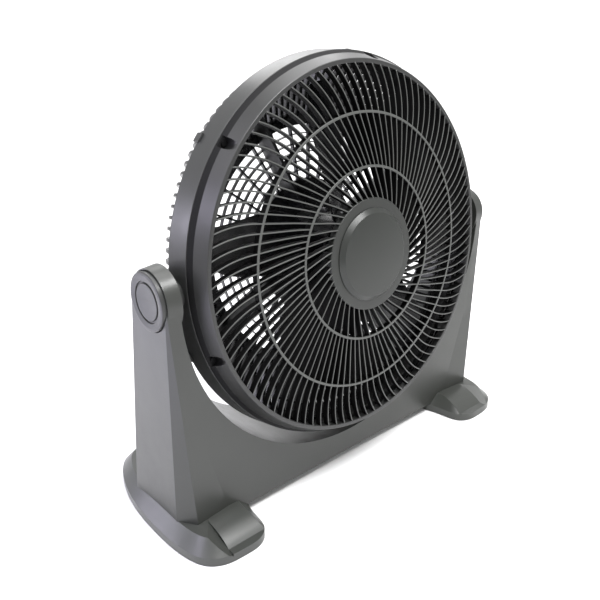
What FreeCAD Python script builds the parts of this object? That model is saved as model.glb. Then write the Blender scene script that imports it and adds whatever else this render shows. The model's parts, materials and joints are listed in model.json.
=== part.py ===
import FreeCAD, Part
import math
import os

# Round floor fan: a shallow drum with a swirled front grille tilts between the pillars of a U-shaped stand.
# Everything is built round the tilt pivot. X runs along the pivot, the front faces -Y and +Z is up.
# Head pieces are made upright, with "reach" measured forward from the pivot along the fan's axis,
# and are then leaned back and lifted to the pivot's height.

Vec = FreeCAD.Vector
X_AXIS = Vec(1, 0, 0)
Y_AXIS = Vec(0, 1, 0)
ORIGIN = Vec(0, 0, 0)

# Fits
running_fit = 0.05
loose_fit = 0.3
hole_fit = 0.1
seam = 0.8
overshoot = 1.0
screw_end_gap = 1.0

# Pose and pivot
pivot_height = 340.0
rest_tilt = 6.2

# Drum
drum_front_radius = 268.0
drum_flare = 3.0
drum_wall = 4.0
drum_front = 27.0
drum_depth = 35.0
drum_edge = 0.8
flange_width = 8.0
flange_thickness = 5.0

# Front grille
skirt_step = 4.8
skirt_step_depth = 7.0
skirt_taper = 7.7
skirt_depth = 19.2
rim_width = 5.5
shell_wall = 3.0
rib_width = 2.1
rib_depth = 10.0
ring_width = 3.6
outer_ring_radius = 189.0
outer_ring_rise = 9.5
inner_ring_radius = 119.0
inner_ring_rise = 17.0
plate_margin = 13.6
plate_rise = 19.7
plate_thickness = 4.0
inner_rib_count = 49
swirl_start = -17.6
inner_swirl = 12.0
inner_swirl_bend = 0.59
middle_swirl = 8.0
middle_swirl_bend = 0.587
outer_swirl = 6.05
outer_swirl_bend = 0.40

# Notches in the skirt, with a screw in each
notch_count = 6
notch_angle = 19.0
notch_radius = 7.5
notch_wall = 2.0
notch_inset = 4.5
notch_floor = 3.0
notch_top_margin = 4.0
post_radius = 4.5
post_length = 14.0
screw_radius = 1.5
screw_head_radius = 3.2
screw_head_height = 2.2

# Centre cap
cap_radius = 64.0
cap_edge = 1.5
cap_shoulder = 5.5
cap_rise = 8.0
cap_dome = 1.6
peg_radius = 2.5
peg_length = 3.5
peg_circle = 45.0
peg_count = 3

# Rear grille
side_ring_width = 10.0
side_ring_depth = 5.0
side_depth = 18.0
side_taper = 5.0
corner_width = 10.0
corner_depth = 11.0
rear_wall = 9.0
rear_depth = 49.5
back_disc_thickness = 6.5
back_disc_radius = 178.0
back_ring_width = 9.0
side_rib_count = 120
side_rib_width = 3.6
spoke_count = 30
spoke_width = 3.0
back_ring_pitch = 13.0
back_gap = 11.4
motor_plate_radius = 96.0
web_count = 4
web_angle = 25.5
web_thickness = 5.0
web_depth = 29.5
web_start = 62.0
spigot_thickness = 3.5
spigot_depth = 4.0
boss_gap = 1.0
boss_frame = 3.0

# Rear clips
clip_width = 12.0
clip_thickness = 2.2
clip_length = 12.0

# Motor
motor_radius = 50.0
motor_wall = 3.0
motor_half_length = 22.0
lug_radius = 4.5
lug_count = 4
bearing_radius = 9.0
bearing_length = 8.5
bearing_boss_wall = 5.0
shaft_radius = 4.0
shaft_stub = 10.0
shaft_tail = 1.0
core_length = 20.0
rotor_core_radius = 24.0
air_gap = 0.8
winding_depth = 6.5
winding_inner_radius = 28.0
winding_outer_radius = 44.0
motor_screw_circle = 36.0
motor_screw_radius = 2.0
motor_screw_head = 3.6
plate_hole_radius = 13.0

# Fan wheel
blade_count = 5
blade_phase = 26.0
tip_gap = 32.0
hub_radius = 52.0
hub_wall = 3.5
hub_rear_gap = 4.0
hub_depth = 41.5
hub_boss_radius = 11.0
blade_chords = (60.0, 95.0, 83.0, 67.0, 30.0)
blade_pitches = (42.0, 33.0, 24.0, 16.0, 11.0)
blade_leads = (-4.0, -10.0, -10.0, -5.0, -17.0)
root_gap = 5.0
root_thickness = 4.0
tip_thickness = 2.4
blade_camber = 0.07
blade_edge = 1.2
washer_thickness = 1.0
drive_pin_radius = 1.5
drive_pin_length = 18.0
nut_radius = 14.0
nut_length = 12.0

# Rear motor cover and controls
cover_margin = 22.0
cover_taper = 8.0
cover_depth = 22.5
cover_wall = 2.5
vent_count = 20
vent_width = 4.0
vent_length = 20.0
vent_margin = 12.0
cover_screw_inset = 5.0
cover_screw_count = 3
cover_post_radius = 4.5
capacitor_width = 36.0
capacitor_height = 20.0
capacitor_depth = 14.0
capacitor_offset = 32.0
switch_radius = 16.0
switch_length = 13.0
stem_radius = 3.0
stem_length = 9.0
knob_radius = 19.0
knob_height = 8.0
knob_gap = 0.5
knob_bar_width = 6.0
knob_base = 3.0
gland_radius = 7.0
gland_bore = 4.0
gland_flange = 9.5
gland_flange_thickness = 3.0
gland_length = 16.0

# Pivots
pivot_boss_radius = 20.0
pivot_boss_sink = 4.0
pivot_boss_reach = 7.0
trunnion_radius = 10.0
trunnion_flange_radius = 18.0
trunnion_flange = 4.0
trunnion_screw_circle = 14.0
trunnion_screw_count = 3
trunnion_screw_length = 12.0
washer_radius = 19.5
washer_space = 4.0
pad_boss_radius = 30.0
bush_radius = 14.0
bush_length = 15.0
stud_radius = 4.0
stud_clearance_radius = 5.0
stud_depth = 31.0
stud_grip = 4.6

# Side knobs
side_knob_radius = 37.3
side_knob_thickness = 9.6
side_knob_gap = 0.4
recess_depth = 4.0
recess_web = 2.0
recess_gap = 1.0
knob_rim_bevel = 1.4
groove_radius = 24.8
groove_width = 2.4
groove_depth = 2.0
knob_dish = 1.2

# Stand yoke
yoke_wall = 3.0
boss_sink = 2.0
boss_inner_radius = 42.0
boss_outer_radius = 40.0
pillar_proud = 2.5
pillar_front_top = -36.0
pillar_front_bottom = -22.5
pillar_chamfer_top = 2.0
pillar_chamfer_bottom = 30.5
pillar_chamfer_angle = 35.0
crease_inset_top = 23.5
crease_inset_middle = 30.5
crease_inset_bottom = 70.5
crease_middle_drop = 170.0
panel_front = -42.0
panel_clearance = 15.0
panel_top_drop = 66.0
saddle_front_relief = 16.5
saddle_rear_relief = 9.0
rear_at_pivot = 40.0
rear_slope = 0.14
cavity_top_drop = 52.0
rear_panel_thickness = 3.0
rear_panel_recess = 0.2
side_cover_width = 107.0
upper_post_inset = 17.5
upper_post_drop = 95.0
lower_post_inset = 33.5
lower_post_drop = 232.0
middle_post_x = 110.0
yoke_post_radius = 5.0
yoke_screw_length = 16.0
spot_face_radius = 4.2
spot_face_depth = 1.4

# Feet. The outline's places are counted sideways from the pillar's outer face and along Y.
foot_places = (
    (-103.5, -45.0), (-98.0, -75.0), (-91.0, -95.0), (-77.5, -104.5), (-49.5, -107.0), (-20.5, -103.5),
    (-0.5, -90.0), (11.5, -62.0), (16.2, -28.0), (17.0, 5.0), (16.0, 40.0), (12.0, 78.0), (1.0, 122.0),
    (-12.5, 152.0), (-30.5, 172.5), (-53.5, 179.5), (-76.0, 171.5), (-92.5, 146.0), (-101.5, 105.0),
    (-107.0, 60.0), (-108.5, 15.0),
)
foot_lift = 1.0
foot_band = 13.0
foot_top = 30.0
foot_wall = 3.5
toe_start = -47.5
toe_end = -95.0
toe_bulge = 4.5
toe_inset = 48.5
toe_side_slope = 0.55
pad_radius = 12.0
pad_thickness = 3.0
pad_seat_wall = 2.5
pad_inset = 38.0
foot_screw_inset = 33.5
foot_rib = 2.5
foot_rib_count = 5
foot_screw_rows = (-14.0, 24.0, 58.0)
foot_screw_radius = 2.0
foot_screw_head = 3.6
foot_post_radius = 6.0
foot_screw_seat = 12.0
foot_screw_grip = 16.0

# Places that follow from the sizes above
floor = -pivot_height
foot_front = min(y for side, y in foot_places)
foot_rear = max(y for side, y in foot_places)
foot_length = foot_rear - foot_front
pivot_y = -(foot_front + foot_rear) / 2
drum_bore_radius = drum_front_radius - drum_wall
drum_rear = drum_front - drum_depth
drum_rear_radius = drum_front_radius + drum_flare
skirt_rear = drum_front + seam
skirt_crease_radius = drum_front_radius - skirt_step
skirt_crease = skirt_rear + skirt_step_depth
rim_outer_radius = skirt_crease_radius - skirt_taper
rim_radius = rim_outer_radius - rim_width
rim_reach = skirt_crease + skirt_depth
plate_radius = cap_radius + plate_margin
plate_reach = rim_reach + plate_rise
outer_rib_count = 2 * inner_rib_count
notch_circle = drum_front_radius - notch_inset
screw_circle = notch_circle - (notch_radius - notch_inset)
screw_seat = drum_front + notch_floor
back_disc_reach = drum_rear - rear_depth
plate_back = back_disc_reach - back_disc_thickness
motor_rear = back_disc_reach
motor_split = motor_rear + motor_half_length
motor_front = motor_split + motor_half_length
core_rear = motor_split - core_length / 2
core_front = motor_split + core_length / 2
hub_rear = motor_front + hub_rear_gap
hub_front_reach = hub_rear + hub_depth
shaft_front_reach = hub_front_reach + shaft_stub
pin_reach = hub_rear + drive_pin_radius + running_fit
tip_radius = drum_bore_radius - tip_gap
cover_front_radius = motor_plate_radius - cover_margin
cover_rear_radius = cover_front_radius - cover_taper
cover_rear = plate_back - cover_depth
cover_screw_circle = cover_rear_radius - cover_screw_inset
vent_outer_radius = cover_rear_radius - vent_margin
vent_inner_radius = vent_outer_radius - vent_length
knob_front = cover_rear - knob_gap
pivot_boss_inner = drum_bore_radius - pivot_boss_sink
pivot_boss_outer = drum_rear_radius + pivot_boss_reach
pivot_pad = pivot_boss_outer + washer_space
bush_end = pivot_pad + bush_length
trunnion_end = bush_end - loose_fit
stud_inner = bush_end - stud_depth
recess_floor = bush_end + recess_web
side_knob_back = recess_floor + side_knob_gap
side_knob_face = side_knob_back + side_knob_thickness
stud_outer = side_knob_back + stud_grip
boss_inner = pivot_pad + boss_sink
boss_outer = recess_floor + recess_depth
pillar_outer = boss_outer + pillar_proud
crease_top = pillar_outer - crease_inset_top
crease_middle = pillar_outer - crease_inset_middle
crease_bottom = pillar_outer - crease_inset_bottom
saddle_front_radius = drum_rear_radius + saddle_front_relief
saddle_rear_radius = drum_rear_radius + saddle_rear_relief
foot_outer = pillar_outer + max(side for side, y in foot_places)
foot_inner = pillar_outer + min(side for side, y in foot_places)
foot_width = foot_outer - foot_inner
foot_slope = foot_outer - pillar_outer
foot_middle = (foot_inner + foot_outer) / 2
toe_outer = foot_outer - toe_inset
foot_screw_x = pillar_outer - foot_screw_inset
foot_top_level = floor + foot_top
panel_bottom = floor + panel_clearance


# Basic shapes

def at(radius, angle, reach):
    """Point on the head: radius and angle seen from the front, reach along the fan's axis."""
    turn = math.radians(angle)
    return Vec(radius * math.cos(turn), -reach, radius * math.sin(turn))


def rod(radius, start, end, spot=ORIGIN):
    """Round bar along the fan's axis between two reaches, centred on a spot across the axis."""
    return Part.makeCylinder(radius, end - start, Vec(spot.x, -start, spot.z), Vec(0, -1, 0))


def bore(radius, start, end, spot=ORIGIN):
    """Cutting tool for a round hole along the fan's axis, a little longer than the hole at both ends."""
    return rod(radius, start - overshoot, end + overshoot, spot)


def tube(inner, outer, start, end):
    """Ring along the fan's axis."""
    return rod(outer, start, end).cut(bore(inner, start, end))


def side_rod(radius, start, end, y=0.0, z=0.0):
    """Round bar along X."""
    return Part.makeCylinder(radius, end - start, Vec(start, y, z), X_AXIS)


def side_bore(radius, start, end, y=0.0, z=0.0):
    """Cutting tool for a round hole along X, a little longer than the hole at both ends."""
    return side_rod(radius, start - overshoot, end + overshoot, y, z)


def level_rod(radius, start, end, x, z):
    """Round bar along Y."""
    return Part.makeCylinder(radius, end - start, Vec(x, start, z), Y_AXIS)


def upright(radius, low, high, x, y):
    """Round bar along Z."""
    return Part.makeCylinder(radius, high - low, Vec(x, y, low), Vec(0, 0, 1))


def box(low, high):
    """Box between two corners."""
    return Part.makeBox(high[0] - low[0], high[1] - low[1], high[2] - low[2], Vec(*low))


def flat(corners):
    """Flat face with straight edges through the corners."""
    return Part.Face(Part.makePolygon(corners + corners[:1]))


def turned(profile):
    """Solid of revolution about the fan's axis from (radius, reach) corners."""
    points = [Vec(radius, -reach, 0) for radius, reach in profile]
    return outward(flat(points).revolve(ORIGIN, Y_AXIS, 360))


def outward(solid):
    """The same solid with its faces pointing out."""
    if solid.Volume < 0:
        solid.reverse()
    return solid


def around(shape, angle):
    """Copy of a head piece turned about the fan's axis, counter-clockwise seen from the front."""
    copy = shape.copy()
    copy.rotate(ORIGIN, Vec(0, -1, 0), angle)
    return copy


def ring_of(shape, count, start=0.0):
    """Evenly spaced copies of a head piece about the fan's axis."""
    return [around(shape, start + 360.0 / count * index) for index in range(count)]


def mirrored(shape):
    """The same piece on the other side of the stand."""
    return shape.mirror(ORIGIN, X_AXIS)


def both_sides(shape):
    """A piece and its mirror image."""
    return [shape, mirrored(shape)]


def screw(seat, length, radius, head_radius, spot=ORIGIN):
    """Screw along the fan's axis that points backwards, with its head in front of the seat."""
    head = rod(head_radius, seat, seat + screw_head_height, spot)
    return head.fuse(rod(radius, seat - length, seat + screw_head_height / 2, spot))


# Drum

def make_drum():
    """Drum ring with its front flange, screw posts and pivot bosses."""
    shell = turned([
        (drum_bore_radius - flange_width, drum_front),
        (drum_front_radius - drum_edge, drum_front),
        (drum_front_radius, drum_front - drum_edge),
        (drum_rear_radius, drum_rear + drum_edge),
        (drum_rear_radius - drum_edge, drum_rear),
        (drum_bore_radius, drum_rear),
        (drum_bore_radius, drum_front - flange_thickness),
        (drum_bore_radius - flange_width, drum_front - flange_thickness),
    ])
    spot = at(screw_circle, 0, 0)
    post = rod(post_radius, drum_front - post_length, drum_front - flange_thickness / 2, spot)
    posts = ring_of(post, notch_count, notch_angle)
    bosses = both_sides(side_rod(pivot_boss_radius, pivot_boss_inner, pivot_boss_outer))
    drum = shell.fuse(posts + bosses)
    hole = bore(screw_radius + running_fit, drum_front - post_length, drum_front, spot)
    holes = ring_of(hole, notch_count, notch_angle)
    bores = both_sides(side_bore(trunnion_radius + running_fit, pivot_boss_inner, pivot_boss_outer))
    thread_end = pivot_boss_inner + trunnion_screw_length
    threads = [
        side_bore(screw_radius + running_fit, pivot_boss_inner, thread_end, y, z)
        for y, z in trunnion_screw_spots()
    ]
    return drum.cut(holes + bores + threads + [mirrored(thread) for thread in threads])


def make_rear_clips():
    """Clips that hook the rear grille's ring to the back edge of the drum, one behind each notch."""
    outer = drum_rear_radius + clip_thickness
    inner = drum_rear_radius - drum_flare
    clip = box((inner / 2, -2 * drum_front, -clip_width / 2), (2 * outer, 2 * drum_front, clip_width / 2))
    hook = turned([
        (drum_rear_radius + hole_fit, drum_rear + clip_length / 2),
        (outer, drum_rear + clip_length / 2),
        (outer, drum_rear - side_ring_depth),
        (inner + hole_fit, drum_rear - side_ring_depth),
        (inner + hole_fit, drum_rear - hole_fit),
        (drum_rear_radius + hole_fit, drum_rear - hole_fit),
    ])
    right_half = box((0, -2 * outer, -2 * outer), (2 * outer, 2 * outer, 2 * outer))
    return Part.makeCompound(ring_of(hook.common(clip).common(right_half), notch_count, notch_angle))


# Front grille

def skirt_profile():
    """Outside of the skirt from its rear edge to the rim."""
    return [
        (drum_front_radius, skirt_rear),
        (skirt_crease_radius, skirt_crease),
        (rim_outer_radius, rim_reach),
    ]


def swirl_gap(inner, outer, start, twist, bend, pitch):
    """Prism through one gap between two neighbouring swirled ribs, bounded by two rings."""
    middle = (inner + outer) / 2
    lean = math.radians(twist) / (outer - inner)
    stations = []
    for radius, share in ((inner, 0.0), (middle, bend), (outer, 1.0)):
        half = math.degrees(rib_width / 2 / radius * math.hypot(1, radius * lean))
        angle = start + twist * share
        stations.append((radius, angle + half, angle + pitch - half))
    base = rim_reach - rib_depth - plate_rise
    left = [at(radius, low, base) for radius, low, high in stations]
    right = [at(radius, high, base) for radius, low, high in stations]
    inside = at(inner, (stations[0][1] + stations[0][2]) / 2, base)
    outside = at(outer, (stations[2][1] + stations[2][2]) / 2, base)
    edges = [
        Part.Arc(left[0], inside, right[0]).toShape(),
        Part.Arc(right[0], right[1], right[2]).toShape(),
        Part.Arc(right[2], outside, left[2]).toShape(),
        Part.Arc(left[2], left[1], left[0]).toShape(),
    ]
    face = Part.Face(Part.Wire(edges))
    return outward(face.extrude(Vec(0, -(rib_depth + 3 * plate_rise), 0)))


def grille_gaps():
    """All gaps of the front grille, zone by zone from the centre plate to the rim."""
    half_ring = ring_width / 2
    zones = (
        (plate_radius, inner_ring_radius - half_ring, inner_swirl, inner_swirl_bend, inner_rib_count),
        (inner_ring_radius + half_ring, outer_ring_radius - half_ring, middle_swirl, middle_swirl_bend,
         outer_rib_count),
        (outer_ring_radius + half_ring, rim_radius, outer_swirl, outer_swirl_bend, outer_rib_count),
    )
    gaps = []
    start = swirl_start
    for inner, outer, twist, bend, count in zones:
        pitch = 360.0 / count
        gap = swirl_gap(inner, outer, start, twist, bend, pitch)
        gaps += ring_of(gap, count)
        start += twist
    return gaps


def make_front_grille():
    """Skirt, rim, ribs, rings and centre plate, moulded in one."""
    inner_ring = rim_reach + inner_ring_rise
    outer_ring = rim_reach + outer_ring_rise
    front = [
        (0, plate_reach),
        (plate_radius, plate_reach),
        (inner_ring_radius, inner_ring),
        (outer_ring_radius, outer_ring),
        (rim_radius, rim_reach),
    ]
    back = [
        (drum_front_radius - shell_wall, skirt_rear),
        (skirt_crease_radius - shell_wall, skirt_crease - shell_wall / 2),
        (rim_outer_radius - shell_wall, rim_reach - rib_depth),
        (rim_radius, rim_reach - rib_depth),
        (outer_ring_radius, outer_ring - rib_depth),
        (inner_ring_radius, inner_ring - rib_depth),
        (plate_radius, plate_reach - rib_depth),
        (plate_radius - shell_wall, plate_reach - plate_thickness),
        (0, plate_reach - plate_thickness),
    ]
    shell = turned(front + skirt_profile()[::-1] + back)
    base = [(0, drum_front), (drum_front_radius, drum_front)]
    envelope = turned(base + skirt_profile() + [(0, rim_reach)])
    spot = at(notch_circle, 0, 0)
    top = rim_reach - notch_top_margin
    cup = rod(notch_radius + notch_wall, drum_front, top, spot).common(envelope)
    pocket = rod(notch_radius, screw_seat, top, spot)
    hole = bore(screw_radius + hole_fit, drum_front, screw_seat, at(screw_circle, 0, 0))
    plate_rear = plate_reach - plate_thickness
    peg_hole = bore(peg_radius + hole_fit, plate_rear, plate_reach, at(peg_circle, 90, 0))
    grille = shell.fuse(ring_of(cup, notch_count, notch_angle))
    cuts = ring_of(pocket, notch_count, notch_angle)
    cuts += ring_of(hole, notch_count, notch_angle)
    cuts += ring_of(peg_hole, peg_count)
    return grille.cut(cuts).cut(grille_gaps())


def make_grille_cap():
    """Plain domed cap on the centre plate, with pegs behind it."""
    crown = plate_reach + cap_rise
    ball_radius = (cap_radius ** 2 + cap_dome ** 2) / (2 * cap_dome)
    ball = Part.makeSphere(ball_radius, Vec(0, ball_radius - crown, 0))
    dome = rod(cap_radius, plate_reach, crown + overshoot).common(ball)
    edge_reach = crown - cap_dome
    edges = [edge for edge in dome.Edges if edge.Closed and abs(edge.BoundBox.YMin + edge_reach) < 0.01]
    dome = dome.makeFillet(cap_shoulder, edges)
    peg = rod(peg_radius, plate_reach - peg_length, plate_reach + cap_edge, at(peg_circle, 90, 0))
    return dome.fuse(ring_of(peg, peg_count))


def make_grille_screws():
    """Screws at the bottom of the notches."""
    fixing = screw(screw_seat, post_length, screw_radius, screw_head_radius, at(screw_circle, 0, 0))
    return Part.makeCompound(ring_of(fixing, notch_count, notch_angle))


# Rear grille

def back_opening(inner, outer, angle):
    """Outline of one gap of the back disc, between two rings and two spokes."""
    pitch = 360.0 / spoke_count
    corners = []
    for radius in (inner, outer):
        half = math.degrees(math.asin(spoke_width / 2 / radius))
        corners.append((radius, angle + half, angle + pitch - half))
    (r0, a0, b0), (r1, a1, b1) = corners
    middle = angle + pitch / 2
    reach = back_disc_reach
    return Part.Wire([
        Part.Arc(at(r0, a0, reach), at(r0, middle, reach), at(r0, b0, reach)).toShape(),
        Part.LineSegment(at(r0, b0, reach), at(r1, b1, reach)).toShape(),
        Part.Arc(at(r1, b1, reach), at(r1, middle, reach), at(r1, a1, reach)).toShape(),
        Part.LineSegment(at(r1, a1, reach), at(r0, a0, reach)).toShape(),
    ])


def round_outline(radius, spot=ORIGIN):
    """Circle on the front of the back disc."""
    return Part.Wire(Part.makeCircle(radius, Vec(spot.x, -back_disc_reach, spot.z), Y_AXIS))


def make_back_disc():
    """Flat back of the rear grille: motor plate, rings and spokes."""
    outlines = [round_outline(back_disc_radius), round_outline(plate_hole_radius)]
    gap_count = int((back_disc_radius - motor_plate_radius) // back_ring_pitch)
    for ring in range(gap_count):
        inner = motor_plate_radius + ring * back_ring_pitch
        for spoke in range(spoke_count):
            outlines.append(back_opening(inner, inner + back_gap, 360.0 / spoke_count * spoke))
    for index in range(lug_count):
        spot = at(motor_screw_circle, 360.0 / lug_count * (index + 0.5), 0)
        outlines.append(round_outline(motor_screw_radius + hole_fit, spot))
    outlines += [round_outline(screw_radius + hole_fit, spot) for spot in cover_screw_spots()]
    face = Part.makeFace(Part.makeCompound(outlines), "Part::FaceMakerBullseye")
    return outward(face.extrude(Vec(0, back_disc_thickness, 0)))


def make_rear_grille():
    """Side ring, ribs that turn the corner, the flat back with its motor plate and the deep webs."""
    outer = drum_rear_radius - drum_flare
    ring_end = drum_rear - side_ring_depth
    side_end = ring_end - side_depth
    corner_end = side_end - corner_depth
    corner_radius = outer - side_taper - corner_width
    lip = back_disc_radius + back_ring_width
    front_face = back_disc_reach + (rear_wall - back_disc_thickness) / 2
    rear_face = plate_back - (rear_wall - back_disc_thickness) / 2
    spigot = drum_bore_radius - loose_fit
    shell = turned([
        (spigot, drum_rear),
        (outer, drum_rear),
        (outer, ring_end),
        (outer - side_taper, side_end),
        (corner_radius, corner_end),
        (lip, rear_face),
        (back_disc_radius - shell_wall, rear_face),
        (back_disc_radius - shell_wall, front_face),
        (lip - rear_wall / 2, front_face),
        (corner_radius - rear_wall / 2, corner_end + rear_wall),
        (outer - side_taper - rear_wall, side_end + rear_wall / 2),
        (outer - side_ring_width / 2, ring_end),
        (outer - side_ring_width, ring_end),
        (outer - side_ring_width, drum_rear),
        (spigot - spigot_thickness, drum_rear),
        (spigot - spigot_thickness, drum_rear + spigot_depth),
        (spigot, drum_rear + spigot_depth),
    ])
    pitch = math.radians(360.0 / side_rib_count)
    near = lip + side_rib_width
    far = outer + side_ring_width
    near_half = near * math.tan(pitch / 2) - side_rib_width / 2
    far_half = far * math.tan(pitch / 2) - side_rib_width / 2
    corners = [
        Vec(near, -ring_end, -near_half),
        Vec(far, -ring_end, -far_half),
        Vec(far, -ring_end, far_half),
        Vec(near, -ring_end, near_half),
    ]
    slot = flat(corners).extrude(Vec(0, ring_end - rear_face + rear_wall, 0))
    clearance = pivot_boss_radius + boss_gap
    frames = both_sides(side_rod(clearance + boss_frame, lip / 2, far))
    slots = [cutter.cut(frames) for cutter in ring_of(outward(slot), side_rib_count)]
    side = shell.cut(slots).cut(both_sides(side_rod(clearance, lip / 2, far)))
    back = back_disc_reach - back_disc_thickness / 2
    front = back_disc_reach + web_depth
    web_end = corner_radius - rear_wall / 2
    half = web_thickness / 2
    outline = [
        Vec(web_start, -back, -half),
        Vec(web_start, -front, -half),
        Vec(web_end, -front, -half),
        Vec(web_end, -corner_end - rear_wall / 2, -half),
        Vec(lip, -back, -half),
    ]
    web = outward(flat(outline).extrude(Vec(0, 0, web_thickness)))
    return side.fuse([make_back_disc()] + ring_of(web, web_count, web_angle))


# Motor

def motor_shell(end, split, bearing_depth):
    """Cup of the motor from its closed end to the split, with a bearing seat and bolt lugs."""
    inward = 1 if split > end else -1
    low, high = min(end, split), max(end, split)
    floor_end = end + inward * motor_wall
    seat_end = end + inward * bearing_depth
    cup = rod(motor_radius, low, high)
    hollow = rod(motor_radius - motor_wall, min(floor_end, split), max(floor_end, split))
    boss = rod(bearing_radius + bearing_boss_wall, min(end, seat_end), max(end, seat_end))
    lug_spot = at(motor_radius + screw_radius, 0, 0)
    lugs = ring_of(rod(lug_radius, low, high, lug_spot), lug_count)
    holes = ring_of(bore(screw_radius + running_fit, low, high, lug_spot), lug_count)
    shell = cup.fuse(lugs).cut(hollow).fuse(boss)
    return shell.cut(holes + [bore(bearing_radius, low, high)])


def make_motor_rear_shell():
    """Rear cup, screwed to the motor plate."""
    shell = motor_shell(motor_rear, motor_split, bearing_length)
    spot = at(motor_screw_circle, 180.0 / lug_count, 0)
    hole = bore(motor_screw_radius + running_fit, motor_rear, motor_rear + motor_wall, spot)
    return shell.cut(ring_of(hole, lug_count))


def make_motor_bolts():
    """Long bolts that hold the two motor cups together."""
    spot = at(motor_radius + screw_radius, 0, 0)
    bolt = screw(motor_front, 2 * motor_half_length, screw_radius, screw_head_radius, spot)
    return Part.makeCompound(ring_of(bolt, lug_count))


def backward_screw(seat, length, radius, head_radius, spot):
    """Screw that points forwards, with its head behind the seat."""
    head = rod(head_radius, seat - screw_head_height, seat, spot)
    return head.fuse(rod(radius, seat - screw_head_height / 2, seat + length, spot))


def make_motor_screws():
    """Screws through the motor plate into the rear cup."""
    length = back_disc_thickness + motor_wall
    spot = at(motor_screw_circle, 180.0 / lug_count, 0)
    fixing = backward_screw(plate_back, length, motor_screw_radius, motor_screw_head, spot)
    return Part.makeCompound(ring_of(fixing, lug_count))


def make_stator_core():
    """Stack of stator sheets, held in the motor cups."""
    return tube(rotor_core_radius + air_gap, motor_radius - motor_wall - running_fit, core_rear, core_front)


def make_stator_windings():
    """Coil heads on both sides of the stack."""
    def coil(start, end):
        ring = tube(winding_inner_radius, winding_outer_radius, start, end)
        return ring.makeFillet((end - start) * 0.4, [edge for edge in ring.Edges if edge.Closed])
    rear = coil(core_rear - winding_depth, core_rear)
    front = coil(core_front, core_front + winding_depth)
    return Part.makeCompound([rear, front])


def make_bearing(start):
    """Plain bearing bush round the shaft."""
    return tube(shaft_radius + running_fit, bearing_radius, start, start + bearing_length)


# Rotor

def make_motor_shaft():
    """Shaft with a cross hole for the drive pin."""
    shaft = rod(shaft_radius, motor_rear - shaft_tail, shaft_front_reach)
    return shaft.cut(cross_pin(drive_pin_radius + running_fit, 4 * shaft_radius))


def cross_pin(radius, length):
    """Bar across the shaft at the back of the hub."""
    return Part.makeCylinder(radius, length, Vec(-length / 2, -pin_reach, 0), X_AXIS)


def make_rotor_core():
    """Rotor on the shaft inside the stator."""
    return tube(shaft_radius, rotor_core_radius, core_rear, core_front)


def make_thrust_washers():
    """Washers on the shaft against the two bearings."""
    hole = shaft_radius + running_fit
    front = motor_front + running_fit
    rear = motor_rear + bearing_length + running_fit
    return Part.makeCompound([
        tube(hole, 2 * shaft_radius, front, front + washer_thickness),
        tube(hole, 2 * shaft_radius, rear, rear + washer_thickness),
    ])


def blade_section(station, radius):
    """Thin section of a blade across one radius, hollow to the front. Stations count from the root."""
    chord = blade_chords[station]
    pitch = math.radians(blade_pitches[station])
    share = station / (len(blade_chords) - 1)
    thickness = root_thickness + (tip_thickness - root_thickness) * share
    along = Vec(0, -math.sin(pitch), math.cos(pitch))
    across = Vec(0, -math.cos(pitch), -math.sin(pitch))
    centre = Vec(radius, -(hub_rear + hub_front_reach) / 2, blade_leads[station])
    lead = centre - along * (chord / 2)
    trail = centre + along * (chord / 2)
    crown = centre - across * (blade_camber * chord)
    lip = across * (blade_edge / 2)
    belly = across * (thickness / 2)
    return Part.Wire([
        Part.Arc(lead + lip, crown + belly, trail + lip).toShape(),
        Part.LineSegment(trail + lip, trail - lip).toShape(),
        Part.Arc(trail - lip, crown - belly, lead - lip).toShape(),
        Part.LineSegment(lead - lip, lead + lip).toShape(),
    ])


def make_fan_wheel():
    """Hub cup with its boss and the blades."""
    inner = hub_radius - hub_wall
    root = math.sqrt(inner ** 2 - (blade_chords[0] / 2) ** 2)
    far = tip_radius * 1.05
    step = (far - root) / (len(blade_chords) - 1)
    sections = [blade_section(station, root + station * step) for station in range(len(blade_chords))]
    blade = outward(Part.makeLoft(sections, True, False))
    low = hub_rear - max(blade_chords)
    high = hub_front_reach + max(blade_chords)
    blade = blade.common(tube(inner + hub_wall / 2, tip_radius, low, high))
    bolt_circle = motor_radius + screw_radius
    blade = blade.cut(rod(bolt_circle + screw_head_radius + root_gap, low, hub_rear))
    cup = rod(hub_radius, hub_rear, hub_front_reach).cut(rod(inner, hub_rear, hub_front_reach - hub_wall))
    boss = rod(hub_boss_radius, hub_rear, hub_front_reach - hub_wall / 2)
    wheel = cup.fuse([boss] + ring_of(blade, blade_count, blade_phase))
    groove = 2 * (drive_pin_radius + running_fit)
    side = hub_boss_radius + overshoot
    slot = box((-side, -hub_rear - groove, -groove / 2), (side, -hub_rear + overshoot, groove / 2))
    return wheel.cut([bore(shaft_radius + running_fit, hub_rear, hub_front_reach), slot])


def make_fan_nut():
    """Rounded nut on the front end of the shaft."""
    end = hub_front_reach + nut_length
    nut = rod(nut_radius, hub_front_reach, end)
    front_edge = [edge for edge in nut.Edges if edge.Closed and abs(edge.BoundBox.YMin + end) < 0.01]
    nut = nut.makeFillet(nut_length * 0.4, front_edge)
    hole_end = shaft_front_reach + running_fit
    return nut.cut(rod(shaft_radius + running_fit, hub_front_reach - overshoot, hole_end))


# Rear motor cover and controls

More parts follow.
